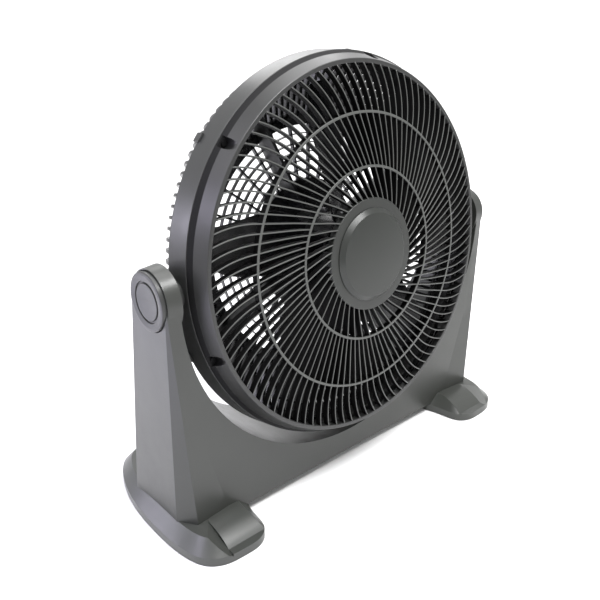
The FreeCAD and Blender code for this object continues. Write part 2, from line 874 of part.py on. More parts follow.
def make_rear_motor_cover():
    """Vented cup behind the motor plate."""
    slope = (cover_front_radius - cover_rear_radius) / cover_depth
    rear_floor = cover_rear + cover_wall
    shell = turned([
        (0, cover_rear),
        (cover_rear_radius, cover_rear),
        (cover_front_radius, plate_back),
        (cover_front_radius - cover_wall, plate_back),
        (cover_rear_radius + slope * cover_wall - cover_wall, rear_floor),
        (0, rear_floor),
    ])
    spots = cover_screw_spots()
    posts = [rod(cover_post_radius, rear_floor - cover_wall / 2, plate_back, spot) for spot in spots]
    holes = [bore(screw_radius + hole_fit, cover_rear, plate_back, spot) for spot in spots]
    vent_low = (vent_inner_radius, -rear_floor - overshoot, -vent_width / 2)
    vent_high = (vent_outer_radius, -cover_rear + overshoot, vent_width / 2)
    vents = ring_of(box(vent_low, vent_high), vent_count)
    stem_hole = bore(stem_radius + loose_fit, cover_rear, rear_floor)
    gland_low = -2 * cover_front_radius
    gland_hole = upright(gland_radius + hole_fit, gland_low, -cover_rear_radius / 2, 0, gland_y())
    return shell.fuse(posts).cut(holes + vents + [stem_hole, gland_hole])


def cover_screw_spots():
    """Places of the cover's screws across the fan's axis."""
    step = 360.0 / cover_screw_count
    return [at(cover_screw_circle, 90 + step * index, 0) for index in range(cover_screw_count)]


def make_rear_cover_screws():
    """Screws through the cover's posts into the motor plate."""
    length = cover_depth + back_disc_thickness
    spots = cover_screw_spots()
    screws = [backward_screw(cover_rear, length, screw_radius, screw_head_radius, spot) for spot in spots]
    return Part.makeCompound(screws)


def gland_y():
    """The gland leaves the cover's side half way along its depth."""
    return -(plate_back - cover_depth / 2)


def make_cord_gland():
    """Flanged gland at the bottom of the cover, where a cord would leave."""
    wall = (cover_front_radius + cover_rear_radius) / 2
    top = -wall + gland_length / 2
    bottom = top - gland_length
    body = upright(gland_radius, bottom, top, 0, gland_y())
    flange_top = -wall - gland_flange * cover_taper / cover_depth - hole_fit
    flange = upright(gland_flange, flange_top - gland_flange_thickness, flange_top, 0, gland_y())
    return body.fuse(flange).cut(upright(gland_bore, bottom - overshoot, top + overshoot, 0, gland_y()))


def make_run_capacitor():
    """Capacitor on the back of the motor plate."""
    low = (-capacitor_width / 2, -plate_back, capacitor_offset)
    high = (capacitor_width / 2, -plate_back + capacitor_depth, capacitor_offset + capacitor_height)
    case = box(low, high)
    along = [edge for edge in case.Edges if abs(edge.tangentAt(edge.FirstParameter).y) > 0.9]
    return case.makeFillet(shell_wall / 2, along)


def make_speed_switch():
    """Rotary switch inside the cover."""
    seat = cover_rear + cover_wall
    body = rod(switch_radius, seat, seat + switch_length)
    return body.cut(rod(stem_radius + running_fit, seat - overshoot, cover_rear + stem_length))


def make_speed_knob():
    """Round knob with a grip bar, on a stem that reaches into the switch."""
    back = knob_front - knob_height
    base = rod(knob_radius, knob_front - knob_base, knob_front)
    bar = box((-knob_bar_width / 2, -knob_front, -knob_radius), (knob_bar_width / 2, -back, knob_radius))
    bar = bar.common(rod(knob_radius, back, knob_front))
    stem = rod(stem_radius, knob_front - knob_base, cover_rear + stem_length - running_fit)
    return base.fuse([bar, stem])


# Pivots

def trunnion_screw_spots():
    """Places of the trunnion's screws round the pivot, as (y, z)."""
    spots = []
    for index in range(trunnion_screw_count):
        turn = math.radians(90 + 360.0 / trunnion_screw_count * index)
        spots.append((trunnion_screw_circle * math.cos(turn), trunnion_screw_circle * math.sin(turn)))
    return spots


def make_trunnion():
    """Steel trunnion on the right: a flange inside the drum and a hollow journal that runs in the bush."""
    flange_start = pivot_boss_inner - trunnion_flange
    flange = side_rod(trunnion_flange_radius, flange_start, pivot_boss_inner)
    journal = side_rod(trunnion_radius, flange_start, trunnion_end)
    stud_hole = side_bore(stud_radius + running_fit, stud_inner, trunnion_end)
    holes = [
        side_bore(screw_radius + hole_fit, flange_start, pivot_boss_inner, y, z)
        for y, z in trunnion_screw_spots()
    ]
    return flange.fuse(journal).cut([stud_hole] + holes)


def make_trunnion_screws():
    """Screws that hold both trunnions to the drum."""
    seat = pivot_boss_inner - trunnion_flange
    end = pivot_boss_inner + trunnion_screw_length
    screws = []
    for y, z in trunnion_screw_spots():
        head = side_rod(screw_head_radius, seat - screw_head_height, seat, y, z)
        screws += both_sides(head.fuse(side_rod(screw_radius, seat - screw_head_height / 2, end, y, z)))
    return Part.makeCompound(screws)


def make_pivot_bush():
    """Nylon bush in the right pillar, a running fit on the trunnion."""
    hole = side_bore(trunnion_radius + running_fit, pivot_pad, bush_end)
    return side_rod(bush_radius, pivot_pad, bush_end).cut(hole)


def make_friction_washers():
    """Washers between the drum's pivot bosses and the pillars."""
    start = pivot_boss_outer + hole_fit
    washer = side_rod(washer_radius, start, pivot_pad)
    washer = washer.cut(side_bore(trunnion_radius + loose_fit, start, pivot_pad))
    return Part.makeCompound(both_sides(washer))


def make_side_knob():
    """Round tilt knob on the right, with a bevelled rim, a ring groove and a dished middle."""
    groove_out = groove_radius + groove_width / 2
    groove_in = groove_radius - groove_width / 2
    profile = [
        (0, side_knob_back),
        (side_knob_radius, side_knob_back),
        (side_knob_radius, side_knob_face - knob_rim_bevel),
        (side_knob_radius - knob_rim_bevel, side_knob_face),
        (groove_out, side_knob_face - knob_rim_bevel / 2),
        (groove_out, side_knob_face - groove_depth - knob_rim_bevel / 2),
        (groove_in, side_knob_face - groove_depth - knob_rim_bevel / 2),
        (groove_in, side_knob_face - knob_rim_bevel / 2),
        (groove_in / 2, side_knob_face - knob_dish),
        (0, side_knob_face - knob_dish * 1.3),
    ]
    points = [Vec(x, 0, radius) for radius, x in profile]
    knob = outward(flat(points).revolve(ORIGIN, X_AXIS, 360))
    return knob.cut(side_rod(stud_radius, side_knob_back - overshoot, stud_outer))


def make_knob_stud():
    """Threaded stud from the knob through the pillar into the trunnion."""
    return side_rod(stud_radius, stud_inner, stud_outer)


# Stand yoke

def rear_y(z):
    """Back of the stand at a height: it leans backwards towards the floor."""
    return rear_at_pivot - rear_slope * z


def pillar_outline(z, inset):
    """Level section of the right pillar at a height, with its bevelled front corner."""
    share = z / foot_top_level
    crease = crease_at(z)
    front = pillar_front_top + (pillar_front_bottom - pillar_front_top) * share
    bevel = pillar_chamfer_top + (pillar_chamfer_bottom - pillar_chamfer_top) * share
    turn = math.radians(pillar_chamfer_angle)
    outer_shift = math.tan(turn / 2)
    crease_shift = math.tan((math.pi / 2 - turn) / 2)
    corner = Vec(pillar_outer - inset, front + inset * outer_shift, z)
    bend_x = pillar_outer - bevel * math.sin(turn) - inset * crease_shift
    bend = Vec(bend_x, front - bevel * math.cos(turn) + inset, z)
    join = Vec(crease, panel_front + inset, z)
    back = rear_y(z) + (2 * yoke_wall if inset else 0)
    points = [corner, bend, join, Vec(crease, back, z), Vec(pillar_outer - inset, back, z)]
    return Part.makePolygon(points + points[:1])


def make_pillar(inset):
    """Right pillar from the foot to the pivot."""
    bottom = foot_top_level + inset
    outlines = [
        pillar_outline(bottom, inset),
        pillar_outline(-crease_middle_drop, inset),
        pillar_outline(0.0, inset),
    ]
    return outward(Part.makeLoft(outlines, True, True))


def crease_at(z):
    """Line where the right pillar meets the cross panel."""
    if z > -crease_middle_drop:
        return crease_top + (crease_middle - crease_top) * z / -crease_middle_drop
    share = (z + crease_middle_drop) / (foot_top_level + crease_middle_drop)
    return crease_middle + (crease_bottom - crease_middle) * share


def foot_space(gap):
    """Room that the right foot takes up under the stand, with a gap round it."""
    band_top = floor + foot_band
    band = outward(Part.Face(foot_outline(-gap, floor)).extrude(Vec(0, 0, foot_band)))
    outlines = [foot_outline(-gap, band_top), foot_outline(foot_slope - gap, foot_top_level)]
    return band.fuse(outward(Part.makeLoft(outlines, True, True)))


def make_panel(inset):
    """Cross panel between the pillars, clear of the feet, before the saddle is cut."""
    right = [(crease_at(z), z) for z in (panel_bottom + inset, -crease_middle_drop, -panel_top_drop)]
    corners = [Vec(x, panel_front + inset, z) for x, z in right + [(-x, z) for x, z in right[::-1]]]
    block = outward(flat(corners).extrude(Vec(0, 2 * rear_y(floor), 0)))
    space = foot_space(loose_fit + inset / 2)
    space.translate(Vec(0, 0, inset))
    return block.cut(both_sides(space)).cut(behind(-2 * yoke_wall if inset else 0))


def make_saddle(inset):
    """Space for the drum: an arch-shaped tool that narrows a little towards the back."""
    def arch(y):
        share = (y - panel_front) / (rear_y(floor) - panel_front)
        radius = saddle_front_radius + (saddle_rear_radius - saddle_front_radius) * share + inset
        right = Vec(radius, y, 0)
        left = Vec(-radius, y, 0)
        top = 2 * boss_inner_radius
        return Part.Wire([
            Part.Arc(left, Vec(0, y, -radius), right).toShape(),
            Part.LineSegment(right, Vec(radius, y, top)).toShape(),
            Part.LineSegment(Vec(radius, y, top), Vec(-radius, y, top)).toShape(),
            Part.LineSegment(Vec(-radius, y, top), left).toShape(),
        ])
    return outward(Part.makeLoft([arch(2 * panel_front), arch(2 * rear_y(floor))], True, True))


def make_boss():
    """Tapered round boss at the top of the right pillar."""
    base = Vec(boss_inner, 0, 0)
    return Part.makeCone(boss_inner_radius, boss_outer_radius, boss_outer - boss_inner, base, X_AXIS)


def yoke_body(inset):
    """U-shaped body of the yoke. With an inset it is the hollow inside, open at the back."""
    pillar = make_pillar(inset)
    body = make_panel(inset).fuse(both_sides(pillar)).cut(make_saddle(inset))
    if inset:
        far = 2 * foot_outer
        body = body.cut(box((-far, -pivot_height, -cavity_top_drop), (far, pivot_height, pivot_height)))
    return body


def behind(offset):
    """Everything behind the sloping back of the stand, moved forward by the offset."""
    low = 2 * floor
    high = pivot_height
    far = 4 * rear_y(low)
    corners = [
        Vec(-2 * foot_outer, rear_y(low) - offset, low),
        Vec(-2 * foot_outer, rear_y(high) - offset, high),
        Vec(-2 * foot_outer, far, high),
        Vec(-2 * foot_outer, far, low),
    ]
    return outward(flat(corners).extrude(Vec(4 * foot_outer, 0, 0)))


def yoke_post_spots():
    """Places of the rear cover's screws as (x, z), on both sides."""
    middle_top = -math.sqrt(saddle_front_radius ** 2 - middle_post_x ** 2)
    spots = (
        (pillar_outer - upper_post_inset, -upper_post_drop),
        (pillar_outer - lower_post_inset, -lower_post_drop),
        (middle_post_x, (middle_top + panel_bottom) / 2),
    )
    return [(side * x, z) for side in (1, -1) for x, z in spots]


def foot_screw_spots():
    """Places of the feet's screws as (x, y), on the right."""
    return [(foot_screw_x, y) for y in foot_screw_rows]


def make_stand_yoke():
    """Front shell of the stand with its boss, cover posts, foot posts and pivot holes."""
    inside = yoke_body(yoke_wall)
    seat = rear_panel_thickness + rear_panel_recess
    shell = yoke_body(0).cut(inside)
    posts = [level_rod(yoke_post_radius, -pivot_height, pivot_height, x, z) for x, z in yoke_post_spots()]
    foot_posts = [
        upright(foot_post_radius, foot_top_level, foot_top_level + foot_screw_grip + yoke_wall, x, y)
        for x, y in foot_screw_spots()
    ]
    foot_posts += [mirrored(post) for post in foot_posts]
    posts = [post.common(inside).cut(behind(seat)) for post in posts + foot_posts]
    pad = side_rod(pad_boss_radius, pivot_pad, boss_inner + yoke_wall)
    yoke = shell.fuse(posts + both_sides(make_boss()) + both_sides(pad))
    holes = [
        level_rod(screw_radius + running_fit, rear_y(z) - yoke_screw_length, rear_y(z), x, z)
        for x, z in yoke_post_spots()
    ]
    foot_hole = foot_screw_radius + running_fit
    hole_top = foot_top_level + foot_screw_grip
    for x, y in foot_screw_spots():
        holes += both_sides(upright(foot_hole, foot_top_level - overshoot, hole_top, x, y))
    holes += both_sides(side_rod(bush_radius, pivot_pad - overshoot, bush_end))
    holes += both_sides(side_bore(stud_clearance_radius, bush_end, boss_outer))
    holes += both_sides(side_rod(side_knob_radius + recess_gap, recess_floor, pillar_outer + overshoot))
    return yoke.cut(holes)


def make_rear_covers():
    """Panels that close the back of the right pillar, the cross panel and the left pillar."""
    inside = yoke_body(yoke_wall + loose_fit)
    slab = behind(rear_panel_thickness + rear_panel_recess).cut(behind(rear_panel_recess))
    cover = inside.common(slab)
    cuts = []
    for x, z in yoke_post_spots():
        face = rear_y(z) - rear_panel_recess - spot_face_depth
        cuts.append(level_rod(spot_face_radius, face, face + yoke_screw_length, x, z))
        cuts.append(level_rod(screw_radius + hole_fit, face - yoke_screw_length, face + overshoot, x, z))
    cover = cover.cut(cuts)
    split = pillar_outer - side_cover_width
    far = 2 * foot_outer
    middle = box((-split, -far, -far), (split, far, far))
    side = box((split + loose_fit, -far, -far), (far, far, far))
    return cover.common(side), cover.common(middle), cover.common(mirrored(side))


def make_yoke_cover_screws():
    """Screws of the rear cover."""
    screws = []
    for x, z in yoke_post_spots():
        seat = rear_y(z) - rear_panel_recess - spot_face_depth
        length = yoke_screw_length - rear_panel_recess - spot_face_depth
        head = level_rod(screw_head_radius, seat, seat + screw_head_height, x, z)
        shank = level_rod(screw_radius, seat - length, seat + screw_head_height / 2, x, z)
        screws.append(head.fuse(shank))
    return Part.makeCompound(screws)


# Feet

def foot_outline(inset, z):
    """Leaf-shaped outline of the right foot: a smooth closed curve, drawn in by the inset on all sides."""
    narrow = 1 - 2 * inset / foot_width
    short = 1 - 2 * inset / foot_length
    points = []
    for side, y in foot_places:
        x = foot_middle + (pillar_outer + side - foot_middle) * narrow
        points.append(Vec(x, -pivot_y + (y + pivot_y) * short, z))
    curve = Part.BSplineCurve()
    curve.interpolate(Points=points, PeriodicFlag=True)
    return Part.Wire(curve.toShape())


def foot_body(inset):
    """Right foot: an upright band, a sloped rim and a toe that rounds down to the front."""
    bottom = floor + (foot_lift if inset == 0 else -overshoot)
    band_top = floor + foot_band - inset * 0.4
    top = foot_top_level - inset
    band = outward(Part.Face(foot_outline(inset, bottom)).extrude(Vec(0, 0, band_top - bottom)))
    outlines = [foot_outline(inset, band_top), foot_outline(inset + foot_slope, top)]
    slope = outward(Part.makeLoft(outlines, True, True))
    return band.fuse(slope).cut([toe_ramp(top, band_top), toe_side(top, band_top)])


def toe_ramp(top, low):
    """Space above the toe, which rounds down to the front on the inner part of the foot."""
    start = Vec(0, toe_start, top)
    end = Vec(0, toe_end, low)
    tip = Vec(0, 2 * foot_front, low)
    middle = (start + end) * 0.5 + Vec(0, 0, toe_bulge)
    above = foot_top_level + foot_top
    edges = [
        Part.Arc(start, middle, end).toShape(),
        Part.LineSegment(end, tip).toShape(),
        Part.LineSegment(tip, Vec(0, 2 * foot_front, above)).toShape(),
        Part.LineSegment(Vec(0, 2 * foot_front, above), Vec(0, toe_start, above)).toShape(),
        Part.LineSegment(Vec(0, toe_start, above), start).toShape(),
    ]
    return outward(Part.Face(Part.Wire(edges)).extrude(Vec(toe_outer, 0, 0)))


def toe_side(top, low):
    """Space above the slanted side between the toe and the flat outer corner of the foot."""
    width = foot_outer - foot_inner
    rise = width * toe_side_slope
    corners = [
        Vec(toe_outer, toe_start, top),
        Vec(toe_outer + width, toe_start, top + rise),
        Vec(toe_outer, toe_start, top + rise),
    ]
    return outward(flat(corners).extrude(Vec(0, toe_end - toe_start, low - top) * 2))


def pad_spots():
    """Places of the right foot's pads as (x, y)."""
    return [(foot_middle, foot_front + pad_inset), (foot_middle, foot_rear - pad_inset)]


def make_foot():
    """Hollow right foot with screw posts and pad seats."""
    inside = foot_body(foot_wall)
    low = floor + foot_lift
    fillers = [upright(foot_post_radius, low, foot_top_level, x, y) for x, y in foot_screw_spots()]
    fillers += [upright(pad_radius + pad_seat_wall, low, foot_top_level, x, y) for x, y in pad_spots()]
    half = foot_rib / 2
    rib_low = low + foot_wall
    long_rib = box((foot_middle - half, foot_front, rib_low), (foot_middle + half, foot_rear, foot_top_level))
    fillers.append(long_rib)
    for index in range(foot_rib_count):
        y = foot_front + (foot_rear - foot_front) * (index + 1) / (foot_rib_count + 1)
        fillers.append(box((foot_inner, y - half, rib_low), (foot_outer, y + half, foot_top_level)))
    fillers = [filler.common(inside) for filler in fillers]
    collar = outward(Part.Face(pillar_outline(foot_top_level, 0)).extrude(Vec(0, 0, foot_band - foot_top)))
    foot = foot_body(0).fuse(collar).cut(inside).fuse(fillers)
    cuts = []
    for x, y in foot_screw_spots():
        cuts.append(upright(foot_screw_radius + hole_fit, floor, foot_top_level + overshoot, x, y))
        cuts.append(upright(foot_screw_head + loose_fit, floor - overshoot, floor + foot_screw_seat, x, y))
    seat_radius = pad_radius + hole_fit
    cuts += [upright(seat_radius, floor - overshoot, floor + pad_thickness, x, y) for x, y in pad_spots()]
    return foot.cut(cuts)


def make_foot_pads():
    """Rubber pads under both feet."""
    pads = []
    for x, y in pad_spots():
        pads += both_sides(upright(pad_radius, floor, floor + pad_thickness, x, y))
    return Part.makeCompound(pads)


def make_foot_screws():
    """Screws through the feet into the pillars."""
    screws = []
    seat = floor + foot_screw_seat
    end = foot_top_level + foot_screw_grip - screw_end_gap
    for x, y in foot_screw_spots():
        head = upright(foot_screw_head, seat - screw_head_height, seat, x, y)
        shank = upright(foot_screw_radius, seat - screw_head_height / 2, end, x, y)
        screws += both_sides(head.fuse(shank))
    return Part.makeCompound(screws)


# Assembly

def lean_and_lift(shape):
    """Head piece in its rest pose."""
    shape.rotate(ORIGIN, X_AXIS, -rest_tilt)
    return lift(shape)


def lift(shape):
    """Piece moved from the pivot's frame to the floor's frame."""
    shape.translate(Vec(0, pivot_y, pivot_height))
    return shape


def stand_nodes():
    """Pieces that stand still."""
    foot = make_foot()
    bush = make_pivot_bush()
    right_cover, middle_cover, left_cover = make_rear_covers()
    return {
        "stand_yoke": make_stand_yoke(),
        "right_rear_cover": right_cover,
        "panel_rear_cover": middle_cover,
        "left_rear_cover": left_cover,
        "yoke_cover_screws": make_yoke_cover_screws(),
        "right_foot": foot,
        "left_foot": mirrored(foot),
        "foot_pads": make_foot_pads(),
        "foot_screws": make_foot_screws(),
        "right_pivot_bush": bush,
        "left_pivot_bush": mirrored(bush),
        "friction_washers": make_friction_washers(),
    }


def head_nodes():
    """Pieces that lean with the head, the rotor and the knobs included."""
    trunnion = make_trunnion()
    knob = make_side_knob()
    stud = make_knob_stud()
    return {
        "drum": make_drum(),
        "front_grille": make_front_grille(),
        "grille_cap": make_grille_cap(),
        "grille_screws": make_grille_screws(),
        "rear_grille": make_rear_grille(),
        "rear_clips": make_rear_clips(),
        "right_trunnion": trunnion,
        "left_trunnion": mirrored(trunnion),
        "trunnion_screws": make_trunnion_screws(),
        "motor_rear_shell": make_motor_rear_shell(),
        "motor_front_shell": motor_shell(motor_front, motor_split, bearing_length),
        "motor_bolts": make_motor_bolts(),
        "motor_screws": make_motor_screws(),
        "stator_core": make_stator_core(),
        "stator_windings": make_stator_windings(),
        "rear_bearing": make_bearing(motor_rear),
        "front_bearing": make_bearing(motor_front - bearing_length),
        "rear_motor_cover": make_rear_motor_cover(),
        "rear_cover_screws": make_rear_cover_screws(),
        "run_capacitor": make_run_capacitor(),
        "speed_switch": make_speed_switch(),
        "cord_gland": make_cord_gland(),
        "fan_wheel": make_fan_wheel(),
        "motor_shaft": make_motor_shaft(),
        "rotor_core": make_rotor_core(),
        "drive_pin": cross_pin(drive_pin_radius, drive_pin_length),
        "thrust_washers": make_thrust_washers(),
        "fan_nut": make_fan_nut(),
        "right_tilt_knob": knob,
        "left_tilt_knob": mirrored(knob),
        "right_knob_stud": stud,
        "left_knob_stud": mirrored(stud),
        "speed_knob": make_speed_knob(),
    }


def main():
    """Writes one STEP file for each piece."""
    os.makedirs("parts", exist_ok=True)
    pieces = {name: lift(shape) for name, shape in stand_nodes().items()}
    pieces.update({name: lean_and_lift(shape) for name, shape in head_nodes().items()})
    for name, shape in pieces.items():
        solids = shape.Solids
        print(name, len(solids), "solids", round(sum(solid.Volume for solid in solids) / 1000, 1), "cm3",
              "valid" if shape.isValid() else "NOT VALID")
        piece = solids[0] if len(solids) == 1 else Part.makeCompound(solids)
        piece.exportStep("parts/" + name + ".step")


main()
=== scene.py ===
import json
import math

import bmesh
import bpy
import numpy as np
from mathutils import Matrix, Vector


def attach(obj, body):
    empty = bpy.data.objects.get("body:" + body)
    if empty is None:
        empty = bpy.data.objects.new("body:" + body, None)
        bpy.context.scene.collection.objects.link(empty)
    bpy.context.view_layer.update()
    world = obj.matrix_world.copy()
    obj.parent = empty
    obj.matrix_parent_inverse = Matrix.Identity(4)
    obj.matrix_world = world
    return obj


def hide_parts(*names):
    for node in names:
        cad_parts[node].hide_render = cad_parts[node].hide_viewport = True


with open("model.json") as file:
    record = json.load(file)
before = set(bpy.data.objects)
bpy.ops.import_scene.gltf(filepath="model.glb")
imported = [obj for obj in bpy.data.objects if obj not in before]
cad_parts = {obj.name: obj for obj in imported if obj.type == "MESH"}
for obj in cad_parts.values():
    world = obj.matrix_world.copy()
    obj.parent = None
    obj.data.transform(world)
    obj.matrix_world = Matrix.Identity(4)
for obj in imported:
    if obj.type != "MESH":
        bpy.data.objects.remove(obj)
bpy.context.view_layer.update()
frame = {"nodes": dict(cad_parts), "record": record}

# Frame of the leaning head. Sizes are in millimetres, as the CAD model has them
MM = 0.001
FULL_TURN = 2 * math.pi
JOINTS = frame["record"]["behaviour"]["joints"]
TILT = next(joint for joint in JOINTS if joint["name"] == "head_tilt")
PIVOT = np.array(TILT["pos_m"]) / MM
REST_TILT = math.radians(6.2)
SIDEWAYS = np.array([1.0, 0.0, 0.0])
FAN_AXIS = np.array([0.0, -math.cos(REST_TILT), math.sin(REST_TILT)])
FAN_UP = np.array([0.0, math.sin(REST_TILT), math.cos(REST_TILT)])
SIDES = ((1, "right"), (-1, "left"))

# Drum
DRUM_FRONT = 27.0
DRUM_REAR = -8.0
DRUM_FRONT_RADIUS = 268.0
DRUM_REAR_RADIUS = 271.0
DRUM_BORE = 264.0
FLANGE_RADIUS = 256.0
FLANGE_REAR = 22.0
BOSS_RADIUS = 20.0
BOSS_BORE = 10.1
BOSS_INNER = 260.0
BOSS_OUTER = 278.0

# Front grille and cap
SKIRT_REAR = 27.8
SKIRT_CREASE = (263.2, 34.8)
SKIRT_WALL = 3.0
RIM_OUTER = 255.5
RIM_RADIUS = 250.0
RIM_REACH = 54.0
PLATE_RADIUS = 77.6
PLATE_REACH = 73.7
PLATE_THICKNESS = 4.0
PLATE_EDGE = 3.0
DOME_FALL = (PLATE_REACH - RIM_REACH) / (RIM_RADIUS ** 2 - PLATE_RADIUS ** 2)
INNER_RING = 119.0
OUTER_RING = 189.0
RING_WIDTH = 3.6
RING_RISE = 0.25
RING_DRAFT = 0.3
CAP_RADIUS = 64.0
CAP_RISE = 8.0
CAP_DOME = 1.6
CAP_EDGE = 1.2
CAP_GAP = 0.05
SHOULDER_WIDTH = 6.2

# Ribs of the front grille: half of the section from the back to the front, then the swirl
RIB_DEPTH = 10.0
RIB_WIDTH = 2.1
RIB_HALF_WIDTHS = (0.6, 0.8, 1.0, 0.92, 0.70, 0.38)
RIB_DROPS = (RIB_DEPTH, RIB_DEPTH - 0.4, 1.05, 0.62, 0.28, 0.07)
RIB_OVERLAP = 1.5
INNER_RIBS = 49
OUTER_RIBS = 98
SWIRL_START = -17.6
INNER_SWIRL = (12.0, 0.59)
MIDDLE_SWIRL = (8.0, 0.587)
OUTER_SWIRL = (6.05, 0.40)

# Screw pockets of the skirt
NOTCH_ANGLES = np.radians(19.0 + 60.0 * np.arange(6))
NOTCH_CIRCLE = 263.5
NOTCH_RADIUS = 7.5
NOTCH_FLOOR = 30.0
NOTCH_TOP = 50.0
NOTCH_WALL = 2.0
NOTCH_EDGE = 0.05
NOTCH_ROOF = 1.0
POCKET_LEVELS = (31.0, 32.5, 37.0, 40.0, 43.0, 46.0, 48.0)

# Tilt knobs
KNOB_RADIUS = 37.3
KNOB_FACE = 309.0
KNOB_BACK = 299.4
KNOB_BORE = 4.05
KNOB_MIDDLE = 5.0
GROOVE_INNER = 23.8
GROOVE_OUTER = 25.8
GROOVE_DEPTH = 2.9

# Fan wheel
BLADES = 5
BLADE_PHASE = math.radians(26.0)
BLADE_CHORDS = (60.0, 95.0, 83.0, 67.0, 30.0)
BLADE_PITCHES = (42.0, 33.0, 24.0, 16.0, 11.0)
BLADE_LEADS = (-4.0, -10.0, -10.0, -5.0, -17.0)
BLADE_ROOT = 38.1
BLADE_FAR = 243.6
BLADE_CAMBER = 0.07
BLADE_FULLNESS = 0.55
ROOT_THICKNESS = 4.0
THICKNESS_LOSS = 1.6
ROOT_SPACE = 59.7
ROOT_OVERLAP = 1.0
TIP_RADIUS = 232.0
TIP_MARGIN = 0.3
HUB_RADIUS = 52.0
HUB_INNER = 48.5
HUB_CORE = 11.0
HUB_BORE = 4.1
HUB_REAR = -9.5
HUB_FRONT = 32.0
HUB_FLOOR = 3.5

# Rear grille
SIDE_RIBS = 120
SIDE_RIB_WIDTH = 4.4
SIDE_RIB_START = -11.0
SIDE_RIB_RADIUS = 262.0
SIDE_WALL = 9.4
WALL_REACHES = (-60.5, -54.0, -46.0, -40.0, -37.5, -35.0, -31.0, -27.0, -20.0, -13.0)
WALL_RADII = (185.4, 203.9, 226.6, 242.6, 247.6, 251.0, 255.4, 258.0, 260.8, 262.5)
BACK_MIDDLE = -60.5
PIVOT_FRAME = 22.5
FRAME_ENDS = (math.radians(35), math.radians(145))
SIDE_RING = (258.2, 267.8)
SIDE_RING_BACK = -13.0
COLLAR = (260.2, 263.6)
COLLAR_FRONT = -4.1
LIP_RADIUS = 187.0
LIP_OUTER = LIP_RADIUS + 1
LIP_INNER = 175.6
LIP_SEAT = 172.5
LIP_FRONT = -56.6
LIP_BACK = -65.0
DISC_FRONT = -57.5
DISC_BACK = -64.0
DISC_RADIUS = 178.0
MOTOR_PLATE = 96.0
MOTOR_BORE = 13.0
RING_PITCH = 13.0
RING_GAP = 11.4
SPOKES = 30
SPOKE_WIDTH = 3.0
SPOKE_INSET = 0.1
WEB_ANGLES = np.radians(25.5 + 90.0 * np.arange(4))
WEB_WIDTH = 5.0
WEB_HALF = 5.0
WEB_FRONT = -28.0
WEB_START = 62.0
WEB_END = 248.0
WEB_CORNER = (184.7, -60.75)
WEB_SLOPE = 2.84

# Steps of the meshes
CORNER_STEPS = 4
SIDE_STEPS = 128
SKIRT_STEPS = 240
POCKET_STEPS = 41
FRAME_STEPS = 40
REAR_RING_STEPS = 180
BLADE_STEPS = 44
BLADE_POINTS = 56
FIT_ROUNDS = 12
BEVEL_SEGMENTS = 3
BEVEL_ANGLE = math.radians(24.0)
FLAT_ANGLE = math.radians(0.4)
MERGE_DISTANCE = 1e-7
CAD_MERGE_DISTANCE = 2e-6

# Shading
SKIN_OUTPUTS = [(label, "NodeSocketFloat") for label in ("Height", "Tone", "Polish")]
SCRATCH_SCALE = (60.0, 420.0, 420.0)
SCRATCH_ROTATION = (0.3, 0.5, 0.7)
POLISH_RANGE = (0.25, 0.75)
BUMP_DISTANCE = 0.0004
# Edges of the painted shade in the skirt's pockets and crease, then the metallic and roughness of
# painted shade
POCKET_SHADE_EDGE = 0.15
POCKET_SHADE_LENGTH = 5.0
CREASE_SHADE_EDGE = 0.6
DEEP_METALLIC = 0.8
DEEP_ROUGHNESS = 0.6

# Stage in metres. A light has a name, a place, a target, a size, its power in watts and a colour
VIEW_AHEAD = (0.70, 0.714)
FLOOR_REACH = 9.0
FLOOR_HEIGHT = 7.0
BEND_START = 2.6
BEND_RADIUS = 2.0
FLOOR_COLOUR = (0.88, 0.88, 0.88, 1.0)
FLOOR_ROUGHNESS = 0.9
FLOOR_SPECULAR = 0.1
WORLD_STRENGTH = 0.85
WHITE = (1.0, 1.0, 1.0)
LIGHTS = (
    ("left_floor_softbox", (-1.20, 0.30, 0.16), (-1.199, 0.30, 0.0), (1.3, 1.1), 8.0,
     (0.70, 0.66, 1.0)),
    ("left_rear_softbox", (-1.70, 1.35, 0.72), (0.0, 0.0, 0.42), (0.7, 0.40), 11.0,
     (0.86, 0.83, 1.0)),
    ("left_skirt_softbox", (-1.60, 0.15, 1.12), (-0.25, 0.0, 0.45), (0.55, 0.5), 7.0,
     (0.82, 0.78, 1.0)),
    ("left_top_softbox", (-1.30, 0.05, 2.20), (0.0, 0.0, 0.35), (1.2, 1.2), 12.0,
     (0.92, 0.90, 1.0)),
    ("right_rear_softbox", (0.85, 1.30, 1.60), (0.0, 0.0, 0.4), (1.0, 0.9), 10.0, WHITE),
    ("crown_softbox", (0.05, -1.0, 2.35), (0.0, 0.0, 0.35), (1.7, 0.7), 70.0, WHITE),
    ("top_softbox", (0.5, 0.25, 2.5), (0.0, 0.0, 0.1), (1.3, 1.3), 22.0, WHITE),
    ("back_softbox", (1.8, 1.0, 3.0), (3.0, 2.6, 1.6), (2.6, 2.6), 60.0, WHITE),
)

# Camera, with its place and target from the pivot in millimetres
CAMERA_OFFSET = np.array([-668.0, -681.5, 320.9])
TARGET_OFFSET = np.array([-67.4, 0.0, -64.3])
SENSOR_WIDTH = 36.0
LENS = 41.62
CLIP_START = 0.01


# Shapes

def on_head(radius, angle, reach):
    """Point of the leaning head: radius turned by the angle in the fan's plane, plus the reach along
    its axis."""
    radius, angle, reach = np.broadcast_arrays(radius, angle, reach)
    side = (radius * np.cos(angle))[..., None] * SIDEWAYS
    up = (radius * np.sin(angle))[..., None] * FAN_UP
    return (PIVOT + side + up + reach[..., None] * FAN_AXIS) * MM


def around(steps):
    """Even turns round a full circle."""
    return np.linspace(0, FULL_TURN, steps, endpoint=False)


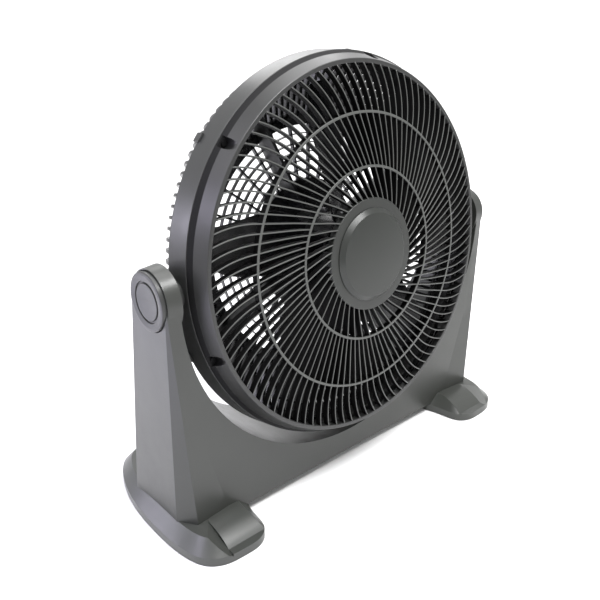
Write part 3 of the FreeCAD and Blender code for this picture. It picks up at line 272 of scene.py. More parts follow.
def rounded(corners, steps=CORNER_STEPS):
    """Closed outline whose corners (a, b, radius) are replaced by arcs: each arc is swept about the
    centre that lies on the corner's bisector, so that it touches both sides."""
    spots = np.array([corner[:2] for corner in corners], float)
    radii = np.array([corner[2] for corner in corners], float)
    to_last = np.roll(spots, 1, axis=0) - spots
    to_next = np.roll(spots, -1, axis=0) - spots
    to_last /= np.linalg.norm(to_last, axis=1, keepdims=True)
    to_next /= np.linalg.norm(to_next, axis=1, keepdims=True)
    half = np.arccos(np.clip((to_last * to_next).sum(1), -1, 1)) / 2
    reach = radii / np.tan(half)
    start = spots + to_last * reach[:, None]
    end = spots + to_next * reach[:, None]
    bisector = to_last + to_next
    bisector /= np.linalg.norm(bisector, axis=1, keepdims=True)
    centre = spots + bisector * (radii / np.sin(half))[:, None]
    share = np.linspace(0, 1, steps + 1)[None, :, None]
    swing = (math.pi - 2 * half)[:, None, None]
    weight_start = np.sin((1 - share) * swing) / np.sin(swing)
    weight_end = np.sin(share * swing) / np.sin(swing)
    from_start = weight_start * (start - centre)[:, None]
    from_end = weight_end * (end - centre)[:, None]
    return (centre[:, None] + from_start + from_end).reshape(-1, 2)


def rounded_box(half_a, half_b, radius, steps):
    """Outline of a box about the origin with rounded corners."""
    return rounded([(-half_a, -half_b, radius), (half_a, -half_b, radius),
                    (half_a, half_b, radius), (-half_a, half_b, radius)], steps)


def grid_faces(rows, cols, close_rows, close_cols):
    """Four-sided faces between neighbouring points of a grid, wrapped round where it closes."""
    row = np.arange(rows if close_rows else rows - 1)
    col = np.arange(cols if close_cols else cols - 1)
    row, col = np.meshgrid(row, col, indexing="ij")
    here = row * cols
    there = (row + 1) % rows * cols
    next_col = (col + 1) % cols
    faces = np.stack([here + col, here + next_col, there + next_col, there + col], -1)
    return faces.reshape(-1, 4)


def bar_faces(count, rows, cols):
    """Faces of several equal bars, each a tube of rows and columns, and the polygons that close both
    ends of each."""
    size = rows * cols
    first = (np.arange(count) * size)[:, None, None]
    loop = np.arange(cols)
    faces = grid_faces(rows, cols, False, True) + first
    ends = np.stack([loop, loop + size - cols]) + first
    return faces.reshape(-1, 4), ends.reshape(-1, cols)


def add_smooth(name, mesh, material):
    """Smoothly shaded object of a mesh in one material."""
    mesh.polygons.foreach_set("use_smooth", [True] * len(mesh.polygons))
    mesh.materials.clear()
    mesh.materials.append(material)
    item = bpy.data.objects.new(name, mesh)
    bpy.context.scene.collection.objects.link(item)
    return item


def settle(piece, body, stands_for):
    """Piece with even shading, joined to its body, with the CAD nodes that it stands for hidden."""
    weighted = piece.modifiers.new("even_shading", "WEIGHTED_NORMAL")
    weighted.keep_sharp = True
    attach(piece, body)
    if stands_for:
        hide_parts(*stands_for)


def new_piece(name, points, faces, material, body, stands_for=(), ends=None):
    """Piece from a point array and a face array, with optional end polygons, riding on a body. Doubles
    are merged and faces turned outwards."""
    mesh = bpy.data.meshes.new(name)
    polygons = faces.tolist() + ([] if ends is None else ends.tolist())
    mesh.from_pydata(points.reshape(-1, 3).tolist(), [], polygons)
    work = bmesh.new()
    work.from_mesh(mesh)
    bmesh.ops.remove_doubles(work, verts=work.verts, dist=MERGE_DISTANCE)
    bmesh.ops.recalc_face_normals(work, faces=work.faces)
    work.to_mesh(mesh)
    work.free()
    settle(add_smooth(name, mesh, material), body, stands_for)


def lathe(name, outline, material, stands_for=(), steps=360, body="head", closed=True):
    """Turned shape on the fan's axis: every point (radius, reach) of an outline is carried round a full
    turn. The outline is a closed loop, or starts and ends on the axis."""
    points = on_head(outline[:, 0], around(steps)[:, None], outline[:, 1])
    faces = grid_faces(steps, len(outline), True, closed)
    new_piece(name, points, faces, material, body, stands_for)


def side_lathe(name, outline, side, material, body, stands_for=(), closed=True):
    """Turned shape on the pivot's axis: every point (radius, distance) of an outline is carried round a
    full turn."""
    angle = around(SIDE_STEPS)[:, None]
    radius = outline[:, 0]
    out = side * (outline[:, 1] + 0 * angle)
    points = np.stack([out, radius * np.cos(angle), radius * np.sin(angle)], -1)
    faces = grid_faces(SIDE_STEPS, len(outline), True, closed)
    new_piece(name, (points + PIVOT) * MM, faces, material, body, stands_for)


def softened(name, node, width, material, body):
    """Copy of a CAD node with its edges rounded: merged, flat faces joined, then bevelled where faces
    meet sharply."""
    mesh = frame["nodes"][node].data.copy()
    mesh.name = name
    work = bmesh.new()
    work.from_mesh(mesh)
    bmesh.ops.remove_doubles(work, verts=work.verts, dist=CAD_MERGE_DISTANCE)
    bmesh.ops.dissolve_limit(work, angle_limit=FLAT_ANGLE, verts=work.verts, edges=work.edges)
    work.to_mesh(mesh)
    work.free()
    piece = add_smooth(name, mesh, material)
    bevel = piece.modifiers.new("rounded_edges", "BEVEL")
    bevel.width = width * MM
    bevel.segments = BEVEL_SEGMENTS
    bevel.limit_method = "ANGLE"
    bevel.angle_limit = BEVEL_ANGLE
    settle(piece, body, (node,))


# Shader groups

def add_node(tree, kind, **settings):
    """Node of a tree with its properties set."""
    node = tree.nodes.new(kind)
    for key, value in settings.items():
        setattr(node, key, value)
    return node


def group_with(name, inputs, outputs):
    """Empty shader group with a Vector and named numbers as inputs, and its two end nodes."""
    tree = bpy.data.node_groups.new(name, "ShaderNodeTree")
    tree.interface.new_socket("Vector", in_out="INPUT", socket_type="NodeSocketVector")
    for label, value in inputs:
        socket = tree.interface.new_socket(label, in_out="INPUT", socket_type="NodeSocketFloat")
        socket.default_value = value
    for label, kind in outputs:
        tree.interface.new_socket(label, in_out="OUTPUT", socket_type=kind)
    return tree, add_node(tree, "NodeGroupInput"), add_node(tree, "NodeGroupOutput")


def math_node(tree, operation, first, second=None, clamp=False):
    """Math node on sockets or numbers, giving its output socket."""
    node = add_node(tree, "ShaderNodeMath", operation=operation, use_clamp=clamp)
    for index, value in enumerate((first, second)):
        if value is None:
            continue
        if isinstance(value, (int, float)):
            node.inputs[index].default_value = value
        else:
            tree.links.new(value, node.inputs[index])
    return node.outputs[0]


def weighed(tree, first, first_share, second, second_share):
    """Sum of two sockets, each times its share."""
    return math_node(tree, "ADD", math_node(tree, "MULTIPLY", first, first_share),
                     math_node(tree, "MULTIPLY", second, second_share))


def above(tree, value, edge, gain):
    """What a value has above an edge, times a gain, held between 0 and 1."""
    excess = math_node(tree, "SUBTRACT", value, edge, True)
    return math_node(tree, "MULTIPLY", excess, gain, True)


def hypotenuse(tree, first, second):
    """Root of the sum of two squares."""
    squares = math_node(tree, "ADD", math_node(tree, "MULTIPLY", first, first),
                        math_node(tree, "MULTIPLY", second, second))
    return math_node(tree, "SQRT", squares)


def noise(tree, vector, scale, detail=2.0, roughness=0.5):
    """Noise value on a vector. The scale is a number or a socket."""
    node = add_node(tree, "ShaderNodeTexNoise")
    tree.links.new(vector, node.inputs["Vector"])
    node.inputs["Detail"].default_value = detail
    node.inputs["Roughness"].default_value = roughness
    if isinstance(scale, (int, float)):
        node.inputs["Scale"].default_value = scale
    else:
        tree.links.new(scale, node.inputs["Scale"])
    return node.outputs["Fac"]


def from_pivot(tree, vector):
    """Vector from the pivot to a point, in metres."""
    node = add_node(tree, "ShaderNodeVectorMath", operation="SUBTRACT")
    tree.links.new(vector, node.inputs[0])
    node.inputs[1].default_value = PIVOT * MM
    return node.outputs["Vector"]


def part_along(tree, vector, direction):
    """Part of a vector along a direction, in millimetres."""
    node = add_node(tree, "ShaderNodeVectorMath", operation="DOT_PRODUCT")
    tree.links.new(vector, node.inputs[0])
    node.inputs[1].default_value = direction / MM
    return node.outputs["Value"]


def make_moulded_skin():
    """Skin of moulded plastic: spark-eroded grain for the height, broad flow marks and fine scuffs for
    the tone, and haze for the polish."""
    tree, source, result = group_with(
        "moulded_skin", [("Grain", 1400.0), ("Flow", 9.0), ("Scuff", 0.5)], SKIN_OUTPUTS)
    vector = source.outputs["Vector"]
    grain = noise(tree, vector, source.outputs["Grain"], detail=3.0, roughness=0.6)
    flow = noise(tree, vector, source.outputs["Flow"], detail=3.0, roughness=0.55)
    haze = noise(tree, vector, 42.0, detail=4.0, roughness=0.6)
    stretch = add_node(tree, "ShaderNodeMapping")
    stretch.inputs["Scale"].default_value = SCRATCH_SCALE
    stretch.inputs["Rotation"].default_value = SCRATCH_ROTATION
    tree.links.new(vector, stretch.inputs["Vector"])
    scratch = above(tree, noise(tree, stretch.outputs["Vector"], 1.0), edge=0.62, gain=4.0)
    patch = above(tree, noise(tree, vector, 14.0), edge=0.52, gain=5.0)
    scuff = math_node(tree, "MULTIPLY", math_node(tree, "MULTIPLY", scratch, patch),
                      source.outputs["Scuff"])
    tone = weighed(tree, flow, 0.7, grain, 0.3)
    polish = weighed(tree, haze, 0.7, flow, 0.3)
    scuffed_tone = math_node(tree, "ADD", tone, math_node(tree, "MULTIPLY", scuff, 0.6))
    scuffed_polish = math_node(tree, "SUBTRACT", polish, math_node(tree, "MULTIPLY", scuff, 0.5))
    tree.links.new(grain, result.inputs["Height"])
    tree.links.new(scuffed_tone, result.inputs["Tone"])
    tree.links.new(scuffed_polish, result.inputs["Polish"])
    return tree


def make_metal_skin():
    """Skin of turned or plated metal: a fine grain for the height and a cloudy tone."""
    tree, source, result = group_with("metal_skin", [("Lines", 900.0)], SKIN_OUTPUTS)
    vector = source.outputs["Vector"]
    lines = noise(tree, vector, source.outputs["Lines"])
    cloud = noise(tree, vector, 60.0, detail=3.0, roughness=0.6)
    tree.links.new(lines, result.inputs["Height"])
    tree.links.new(cloud, result.inputs["Tone"])
    tree.links.new(weighed(tree, lines, 0.4, cloud, 0.6), result.inputs["Polish"])
    return tree


def make_rib_depth():
    """How far a point lies behind the dome of the grille's front: 0 on the front edges, 1 on the ribs'
    sides, where it masks painted shade. The dome is a parabola in the radius, so only the reach and the
    squared radius are needed."""
    tree, source, result = group_with(
        "rib_depth", [("Start", 0.15), ("Fade", 0.6)], [("Depth", "NodeSocketFloat")])
    offset = from_pivot(tree, source.outputs["Vector"])
    reach = part_along(tree, offset, FAN_AXIS)
    whole = add_node(tree, "ShaderNodeVectorMath", operation="DOT_PRODUCT")
    tree.links.new(offset, whole.inputs[0])
    tree.links.new(offset, whole.inputs[1])
    square = math_node(tree, "SUBTRACT",
                       math_node(tree, "DIVIDE", whole.outputs["Value"], MM ** 2),
                       math_node(tree, "MULTIPLY", reach, reach))
    front = math_node(tree, "SUBTRACT", PLATE_REACH + DOME_FALL * PLATE_RADIUS ** 2,
                      math_node(tree, "MULTIPLY", square, DOME_FALL))
    behind = math_node(tree, "SUBTRACT", math_node(tree, "SUBTRACT", front, reach),
                       source.outputs["Start"])
    depth = math_node(tree, "DIVIDE", behind, source.outputs["Fade"], True)
    tree.links.new(depth, result.inputs["Depth"])
    return tree


def make_notch_shade():
    """1 inside the round pockets of the skirt and in the crease behind it, 0 elsewhere: the turn about
    the fan's axis is folded into one sixth, and the distance from that pocket's middle is compared with
    the pocket's size."""
    tree, source, result = group_with("notch_shade", [], [("Shade", "NodeSocketFloat")])
    offset = from_pivot(tree, source.outputs["Vector"])
    side, up, reach = (part_along(tree, offset, way) for way in (SIDEWAYS, FAN_UP, FAN_AXIS))
    radius = hypotenuse(tree, side, up)
    turn = math_node(tree, "SUBTRACT", math_node(tree, "ARCTAN2", up, side), float(NOTCH_ANGLES[0]))
    folded = math_node(tree, "PINGPONG", math_node(tree, "ADD", turn, FULL_TURN),
                       math.pi / len(NOTCH_ANGLES))
    aside = math_node(tree, "MULTIPLY", folded, radius)
    inward = math_node(tree, "SUBTRACT", radius, NOTCH_CIRCLE)
    distance = hypotenuse(tree, aside, inward)
    near = math_node(tree, "LESS_THAN", distance, NOTCH_RADIUS + POCKET_SHADE_EDGE)
    below = math_node(tree, "SUBTRACT", NOTCH_TOP - NOTCH_ROOF, reach)
    fade = math_node(tree, "DIVIDE", below, POCKET_SHADE_LENGTH, True)
    crease = math_node(tree, "SUBTRACT", SKIRT_CREASE[1] + CREASE_SHADE_EDGE, reach, True)
    shade = math_node(tree, "MAXIMUM", math_node(tree, "MULTIPLY", near, fade), crease)
    tree.links.new(shade, result.inputs["Shade"])
    return tree


moulded_skin = make_moulded_skin()
notch_shade = make_notch_shade()
rib_depth = make_rib_depth()
metal_skin = make_metal_skin()


# Materials

def group_on_object(tree, group_tree):
    """Group node fed with Object coordinates."""
    place = add_node(tree, "ShaderNodeTexCoord")
    group = add_node(tree, "ShaderNodeGroup", node_tree=group_tree)
    tree.links.new(place.outputs["Object"], group.inputs["Vector"])
    return group


def finish_material(name, skin, dark, light, rough, bump, metallic):
    """Material whose colour, roughness and fine relief follow a skin group on Object coordinates."""
    material = bpy.data.materials.new(name)
    material.use_nodes = True
    tree = material.node_tree
    shader = tree.nodes["Principled BSDF"]
    group = group_on_object(tree, skin)
    colour = add_node(tree, "ShaderNodeMix", data_type="RGBA")
    colour.inputs["A"].default_value = (*dark, 1.0)
    colour.inputs["B"].default_value = (*light, 1.0)
    tree.links.new(group.outputs["Tone"], colour.inputs["Factor"])
    tree.links.new(colour.outputs["Result"], shader.inputs["Base Color"])
    spread = add_node(tree, "ShaderNodeMapRange")
    spread.inputs["From Min"].default_value, spread.inputs["From Max"].default_value = POLISH_RANGE
    spread.inputs["To Min"].default_value, spread.inputs["To Max"].default_value = rough
    tree.links.new(group.outputs["Polish"], spread.inputs["Value"])
    tree.links.new(spread.outputs["Result"], shader.inputs["Roughness"])
    relief = add_node(tree, "ShaderNodeBump")
    relief.inputs["Strength"].default_value = bump
    relief.inputs["Distance"].default_value = BUMP_DISTANCE
    tree.links.new(group.outputs["Height"], relief.inputs["Height"])
    tree.links.new(relief.outputs["Normal"], shader.inputs["Normal"])
    shader.inputs["Metallic"].default_value = metallic
    return material


def plastic(name, dark, light, rough, bump):
    """Moulded plastic between two colours and two roughnesses."""
    return finish_material(name, moulded_skin, dark, light, rough, bump, 0.0)


def metal(name, dark, light, rough, bump):
    """Metal between two colours and two roughnesses."""
    return finish_material(name, metal_skin, dark, light, rough, bump, 1.0)


def darken(material, mask, deep):
    """Painted shade: where a mask group on Object coordinates says, a material's colour and roughness
    turn to the deep ones, and its pale plastic sheen goes, because a metallic black mirrors only its
    own colour."""
    tree = material.node_tree
    shader = tree.nodes["Principled BSDF"]
    amount = group_on_object(tree, mask).outputs[0]
    colour = add_node(tree, "ShaderNodeMix", data_type="RGBA")
    tree.links.new(shader.inputs["Base Color"].links[0].from_socket, colour.inputs["A"])
    colour.inputs["B"].default_value = (*deep, 1.0)
    tree.links.new(amount, colour.inputs["Factor"])
    tree.links.new(colour.outputs["Result"], shader.inputs["Base Color"])
    rough = add_node(tree, "ShaderNodeMapRange")
    tree.links.new(amount, rough.inputs["Value"])
    tree.links.new(shader.inputs["Roughness"].links[0].from_socket, rough.inputs["To Min"])
    rough.inputs["To Max"].default_value = DEEP_ROUGHNESS
    tree.links.new(rough.outputs["Result"], shader.inputs["Roughness"])
    metallic = math_node(tree, "MULTIPLY", amount, DEEP_METALLIC)
    tree.links.new(metallic, shader.inputs["Metallic"])


stand_finish = plastic(
    "charcoal_stand", (0.024, 0.0255, 0.023), (0.038, 0.040, 0.036), (0.28, 0.38), 0.10)
foot_finish = plastic(
    "charcoal_feet", (0.034, 0.036, 0.033), (0.052, 0.055, 0.050), (0.28, 0.38), 0.10)
drum_finish = plastic(
    "charcoal_drum", (0.022, 0.0225, 0.022), (0.034, 0.035, 0.034), (0.30, 0.42), 0.08)
skirt_finish = plastic(
    "charcoal_skirt", (0.017, 0.0173, 0.017), (0.027, 0.0275, 0.027), (0.28, 0.38), 0.08)
# Ribs and rings: their lighter grey is a painted highlight on the front edges, and the depth mask turns
# their sides to painted shade.
rib_painted_light_finish = plastic(
    "ribs_painted_highlight_and_shade", (0.050, 0.052, 0.049), (0.074, 0.077, 0.072), (0.30, 0.42), 0.05)
darken(rib_painted_light_finish, rib_depth, (0.006, 0.006, 0.0062))
# Painted shade in the skirt's screw pockets and in the crease where the skirt meets the drum.
darken(skirt_finish, notch_shade, (0.010, 0.010, 0.0105))
plate_finish = plastic(
    "grey_plate", (0.014, 0.0152, 0.0136), (0.022, 0.0240, 0.0214), (0.30, 0.42), 0.05)
cap_finish = plastic(
    "grey_cap", (0.012, 0.0136, 0.0117), (0.020, 0.0225, 0.0195), (0.26, 0.36), 0.05)
knob_finish = plastic(
    "charcoal_knob", (0.022, 0.0225, 0.022), (0.034, 0.035, 0.034), (0.32, 0.44), 0.08)
blade_finish = plastic(
    "black_blades", (0.004, 0.004, 0.005), (0.009, 0.009, 0.010), (0.20, 0.28), 0.0)
black_finish = plastic(
    "black_mouldings", (0.006, 0.006, 0.007), (0.012, 0.012, 0.013), (0.36, 0.52), 0.10)
guard_finish = plastic(
    "black_guard", (0.006, 0.006, 0.007), (0.011, 0.011, 0.012), (0.22, 0.34), 0.05)
# Painted shade: the screws in the skirt's pockets are dark so that the pockets read as shaded holes
pocket_shade_screw_finish = metal(
    "pocket_screws_painted_shade", (0.020, 0.020, 0.021), (0.040, 0.040, 0.042), (0.35, 0.50), 0.10)
nylon_finish = plastic(
    "natural_nylon", (0.50, 0.48, 0.42), (0.62, 0.60, 0.54), (0.40, 0.55), 0.08)
rubber_finish = plastic(
    "pad_rubber", (0.012, 0.012, 0.012), (0.028, 0.028, 0.028), (0.70, 0.90), 0.30)
screw_finish = metal(
    "plated_screws", (0.22, 0.22, 0.23), (0.34, 0.34, 0.35), (0.36, 0.54), 0.10)
shaft_finish = metal(
    "ground_steel", (0.42, 0.42, 0.43), (0.56, 0.56, 0.57), (0.22, 0.38), 0.08)
case_finish = metal(
    "zinc_motor_case", (0.30, 0.30, 0.31), (0.48, 0.48, 0.49), (0.25, 0.42), 0.12)
core_finish = metal(
    "stacked_sheets", (0.12, 0.12, 0.125), (0.22, 0.22, 0.23), (0.40, 0.60), 0.20)
copper_finish = metal(
    "enamelled_copper", (0.30, 0.12, 0.05), (0.52, 0.24, 0.10), (0.25, 0.42), 0.20)
bronze_finish = metal(
    "sintered_bronze", (0.36, 0.22, 0.09), (0.52, 0.34, 0.15), (0.35, 0.55), 0.20)

slot_finish = {
    "stand_plastic": stand_finish, "drum_plastic": drum_finish, "grille_plastic": rib_painted_light_finish,
    "cap_plastic": cap_finish, "knob_plastic": knob_finish, "blade_plastic": blade_finish,
    "black_plastic": black_finish, "nylon": nylon_finish, "pad_rubber": rubber_finish,
    "screw_steel": screw_finish, "shaft_steel": shaft_finish, "motor_case": case_finish,
    "core_steel": core_finish, "winding_copper": copper_finish, "bearing_bronze": bronze_finish,
}
for part in frame["record"]["subparts"]:
    node = frame["nodes"][part["node"]]
    # The screws in the skirt's pockets take the dark finish of painted shade.
    in_pocket = part["node"] == "grille_screws"
    node.data.materials.clear()
    node.data.materials.append(pocket_shade_screw_finish if in_pocket else slot_finish[part["material_slot"]])


# Front grille and cap

def dome_reach(radius):
    """Front of the ribs: a parabola that falls from the centre plate's edge to the rim."""
    return PLATE_REACH - DOME_FALL * (radius ** 2 - PLATE_RADIUS ** 2)


def swirl(radius, inner, outer, twist, bend):
    """Turn of a rib in degrees at a radius: a parabola that is zero at the inner radius, the full twist
    at the outer one, and the bend's share of it half way."""
    share = (radius - inner) / (outer - inner)
    curve = 2 - 4 * bend
    return twist * (curve * share ** 2 + (1 - curve) * share)


def short_rib_turn(radius):
    """Turn of the ribs from the centre plate to the inner ring."""
    return swirl(radius, PLATE_RADIUS, INNER_RING, *INNER_SWIRL)


def long_rib_turn(radius):
    """Turn of the ribs from the inner ring to the rim."""
    middle = swirl(radius, INNER_RING, OUTER_RING, *MIDDLE_SWIRL)
    outer = MIDDLE_SWIRL[0] + swirl(radius, OUTER_RING, RIM_RADIUS, *OUTER_SWIRL)
    return np.where(radius < OUTER_RING, middle, outer)


def make_ribs(name, start, end, count, steps, phase, turn):
    """Ribs: a tapered bar with a rounded front edge, carried along each swirled line over the dome."""
    half = RIB_WIDTH / 2 * np.array(RIB_HALF_WIDTHS)
    across = np.concatenate([half, [0.0], -half[::-1]])
    down = np.array([*RIB_DROPS, 0.0, *RIB_DROPS[::-1]])
    radius = np.linspace(start, end, steps)
    angle = np.radians(phase + turn(radius))
    slope = np.gradient(angle, radius) * radius
    lean = 1 / np.sqrt(1 + slope ** 2)
    first = FULL_TURN / count * np.arange(count)
    points = on_head(
        radius[:, None] - across * (slope * lean)[:, None],
        first[:, None, None] + angle[:, None] + across * (lean / radius)[:, None],
        dome_reach(radius)[:, None] - down)
    faces, ends = bar_faces(count, steps, len(across))
    new_piece(name, points, faces, rib_painted_light_finish, "head", ends=ends)


def ring_outline(radius):
    """Rounded bar of a grille ring, set to the dome's slope."""
    inner, outer = radius - RING_WIDTH / 2, radius + RING_WIDTH / 2
    inner_front, outer_front = dome_reach(inner), dome_reach(outer)
    return rounded([
        (inner, inner_front + RING_RISE, 0.9), (outer, outer_front + RING_RISE, 0.9),
        (outer - RING_DRAFT, outer_front - RIB_DEPTH, 0.5),
        (inner + RING_DRAFT, inner_front - RIB_DEPTH, 0.5)])


def turn_from_notch(angle):
    """Size of the turn between each angle and the nearest notch."""
    return np.abs((angle[:, None] - NOTCH_ANGLES + math.pi) % FULL_TURN - math.pi).min(1)


def skirt_angles():
    """Turns round the skirt: even steps, with close ones at the walls of every notch."""
    even = around(SKIRT_STEPS)
    wide = (NOTCH_RADIUS + NOTCH_WALL) / NOTCH_CIRCLE
    edge = (NOTCH_RADIUS + NOTCH_EDGE) / NOTCH_CIRCLE
    local = np.concatenate([np.linspace(-wide, wide, POCKET_STEPS), [-edge, edge]])
    close = (NOTCH_ANGLES[:, None] + local).ravel() % FULL_TURN
    far = even[turn_from_notch(even) >= wide * 1.15]
    return np.unique(np.round(np.concatenate([far, close]), 6))


def make_skirt():
    """Skirt and rim: a rounded outline carried round the axis. In each notch the radius is drawn in to
    the wall of a round pocket, between the pocket's floor and its top, and the inner wall is drawn in
    with it."""
    crease_radius, crease_reach = SKIRT_CREASE
    outline = rounded([
        (DRUM_FRONT_RADIUS, SKIRT_REAR, 0.5), (crease_radius, crease_reach, 1.2),
        (RIM_OUTER, RIM_REACH, 1.6), (RIM_RADIUS, RIM_REACH, 1.0),
        (RIM_RADIUS, RIM_REACH - RIB_DEPTH, 0.6), (RIM_OUTER - SKIRT_WALL, RIM_REACH - RIB_DEPTH, 0.3),
        (crease_radius - SKIRT_WALL, crease_reach - SKIRT_WALL / 2, 0.6),
        (DRUM_FRONT_RADIUS - SKIRT_WALL, SKIRT_REAR, 0.5)])
    outer_corners = 3
    outer_end = outer_corners * (CORNER_STEPS + 1)
    front, back = outline[:outer_end], outline[outer_end:]
    levels = np.array([NOTCH_FLOOR - NOTCH_EDGE, NOTCH_FLOOR + NOTCH_EDGE, *POCKET_LEVELS,
                       NOTCH_TOP - NOTCH_EDGE, NOTCH_TOP + NOTCH_EDGE])
    added = np.stack([np.interp(levels, front[:, 1], front[:, 0]), levels], 1)
    front = np.concatenate([front, added])
    front = front[np.argsort(front[:, 1], kind="stable")]
    profile = np.concatenate([front, back])
    inside = np.arange(len(profile)) >= len(front)
    radius, reach = profile.T
    angle = skirt_angles()
    aside = turn_from_notch(angle)[:, None] * NOTCH_CIRCLE
    cup_radius = NOTCH_RADIUS + NOTCH_WALL
    pocket = NOTCH_CIRCLE - np.sqrt(np.clip(NOTCH_RADIUS ** 2 - aside ** 2, 0, None))
    cup = NOTCH_CIRCLE - np.sqrt(np.clip(cup_radius ** 2 - aside ** 2, 0, None))
    in_pocket = (aside < NOTCH_RADIUS) & (reach > NOTCH_FLOOR) & (reach < NOTCH_TOP) & ~inside
    in_cup = (aside < cup_radius) & (reach < NOTCH_TOP - NOTCH_ROOF) & inside
    radius = np.where(in_pocket, np.minimum(radius, pocket), radius)
    radius = np.where(in_cup, np.minimum(radius, cup), radius)
    points = on_head(radius, angle[:, None], reach)
    faces = grid_faces(len(angle), len(profile), True, True)
    new_piece("grille_skirt", points, faces, skirt_finish, "head", ("front_grille",))


def make_front_grille():
    """Skirt, ribs, rings and the plate behind the cap."""
    make_skirt()
    make_ribs("grille_ribs_outer", INNER_RING, RIM_RADIUS + RIB_OVERLAP, OUTER_RIBS, 44,
              SWIRL_START + INNER_SWIRL[0], long_rib_turn)
    make_ribs("grille_ribs_inner", PLATE_RADIUS - RIB_OVERLAP, INNER_RING, INNER_RIBS, 18,
              SWIRL_START, short_rib_turn)
    lathe("grille_ring_inner", ring_outline(INNER_RING), rib_painted_light_finish)
    lathe("grille_ring_outer", ring_outline(OUTER_RING), rib_painted_light_finish)
    back = PLATE_REACH - PLATE_THICKNESS
    edge_back = PLATE_REACH - RIB_DEPTH
    plate = rounded([
        (0.0, PLATE_REACH, 0.0), (PLATE_RADIUS, PLATE_REACH, 1.4), (PLATE_RADIUS, edge_back, 0.5),
        (PLATE_RADIUS - PLATE_EDGE, edge_back, 0.5), (PLATE_RADIUS - PLATE_EDGE - 0.2, back, 0.5),
        (0.0, back, 0.0)])
    lathe("grille_plate", plate, plate_finish, steps=180, closed=False)


def make_cap():
    """Cap: a shallow parabolic dome, then a sloped shoulder with rounded edges down to the plate."""
    brow = CAP_RADIUS - SHOULDER_WIDTH

    def dome(radius):
        return PLATE_REACH + CAP_RISE - CAP_DOME * (radius / brow) ** 2

    radius = np.linspace(0.0, brow - 3.0, 14)
    seat = PLATE_REACH + CAP_GAP
    shoulder = rounded([
        (brow - 2.0, dome(brow - 2.0), 0.0), (brow, dome(brow), 0.8),
        (CAP_RADIUS, PLATE_REACH + CAP_EDGE, 0.7), (CAP_RADIUS, seat, 0.3), (0.0, seat, 0.0)])
    outline = np.concatenate([np.stack([radius, dome(radius)], 1), shoulder])
    lathe("centre_cap", outline, cap_finish, ("grille_cap",), steps=180, closed=False)


# Drum and tilt knobs

def make_drum():
    """Drum band with its flange, and the two pivot bosses."""
    band = rounded([
        (DRUM_FRONT_RADIUS, DRUM_FRONT, 0.9), (DRUM_REAR_RADIUS, DRUM_REAR, 1.6),
        (DRUM_BORE, DRUM_REAR, 0.6), (DRUM_BORE, FLANGE_REAR, 0.8),
        (FLANGE_RADIUS, FLANGE_REAR, 0.8), (FLANGE_RADIUS, DRUM_FRONT, 0.8)])
    lathe("drum_band", band, drum_finish, ("drum",))
    boss = rounded([(BOSS_BORE, BOSS_INNER, 0.3), (BOSS_RADIUS, BOSS_INNER, 1.0),
                    (BOSS_RADIUS, BOSS_OUTER, 1.0), (BOSS_BORE, BOSS_OUTER, 0.5)])
    for side, label in SIDES:
        side_lathe(label + "_pivot_boss", boss, side, drum_finish, "head")


def make_side_knobs():
    """Tilt knobs: a rounded rim, a ring groove and a dished middle, turned about the pivot."""
    face = KNOB_FACE
    groove = face - GROOVE_DEPTH
    middle = face - KNOB_MIDDLE
    outline = rounded([
        (0.0, face - 1.9, 0.0), (14.0, face - 1.2, 4.0), (GROOVE_INNER - 0.6, face - 0.7, 0.8),
        (GROOVE_INNER, groove, 0.5), (GROOVE_OUTER, groove, 0.5), (GROOVE_OUTER + 0.6, face - 0.9, 0.8),
        (33.0, face, 0.8), (KNOB_RADIUS, face - 0.2, 1.5), (KNOB_RADIUS, KNOB_BACK, 0.6),
        (KNOB_BORE, KNOB_BACK, 0.2), (KNOB_BORE, middle, 0.2), (0.0, middle, 0.0)])
    for side, label in SIDES:
        side_lathe(label + "_knob", outline, side, knob_finish, label + "_knob",
                   (label + "_tilt_knob",), closed=False)


# Rear grille

def bars(section, path_radius, path_reach, turns):
    """Points, faces and end polygons of bars at several turns: a section (a sideways, b square to the
    path) is carried along a path of radius and reach. The sideways part becomes a turn about the
    axis."""
    sideways, square = section.T
    slope_r = np.gradient(path_radius)
    slope_s = np.gradient(path_reach)
    length = np.hypot(slope_r, slope_s)
    radius = path_radius[:, None] - (slope_s / length)[:, None] * square
    reach = path_reach[:, None] + (slope_r / length)[:, None] * square
    points = on_head(radius, turns[:, None, None] + sideways / radius, reach)
    faces, ends = bar_faces(len(turns), len(path_radius), len(section))
    return points.reshape(-1, 3), faces, ends


def side_wall(reach):
    """Middle of the rear grille's wall: its radius where the wall reaches back, with the corner
    rounded."""
    return np.interp(reach, WALL_REACHES, WALL_RADII)


def make_side_ribs(section):
    """Ribs that turn the corner of the rear grille. Those near a pivot stop at its round frame."""
    turns = FULL_TURN / SIDE_RIBS * (np.arange(SIDE_RIBS) + 0.5)
    aside = np.abs(np.sin(turns)) * SIDE_RIB_RADIUS
    near = aside < PIVOT_FRAME
    groups = [(turns[~near], SIDE_RIB_START)]
    for gap in np.unique(np.round(aside[near], 2)):
        alike = near & (np.abs(aside - gap) < 0.5)
        groups.append((turns[alike], -math.sqrt(PIVOT_FRAME ** 2 - gap ** 2)))
    points, faces, ends, count = [], [], [], 0
    for chosen, start in groups:
        reach = np.linspace(start, BACK_MIDDLE, 30)
        some_points, some_faces, some_ends = bars(section, side_wall(reach), reach, chosen)
        points.append(some_points)
        faces.append(some_faces + count)
        ends.append(some_ends + count)
        count += len(some_points)
    new_piece("rear_side_ribs", np.concatenate(points), np.concatenate(faces), guard_finish, "head",
              ("rear_grille",), np.concatenate(ends))


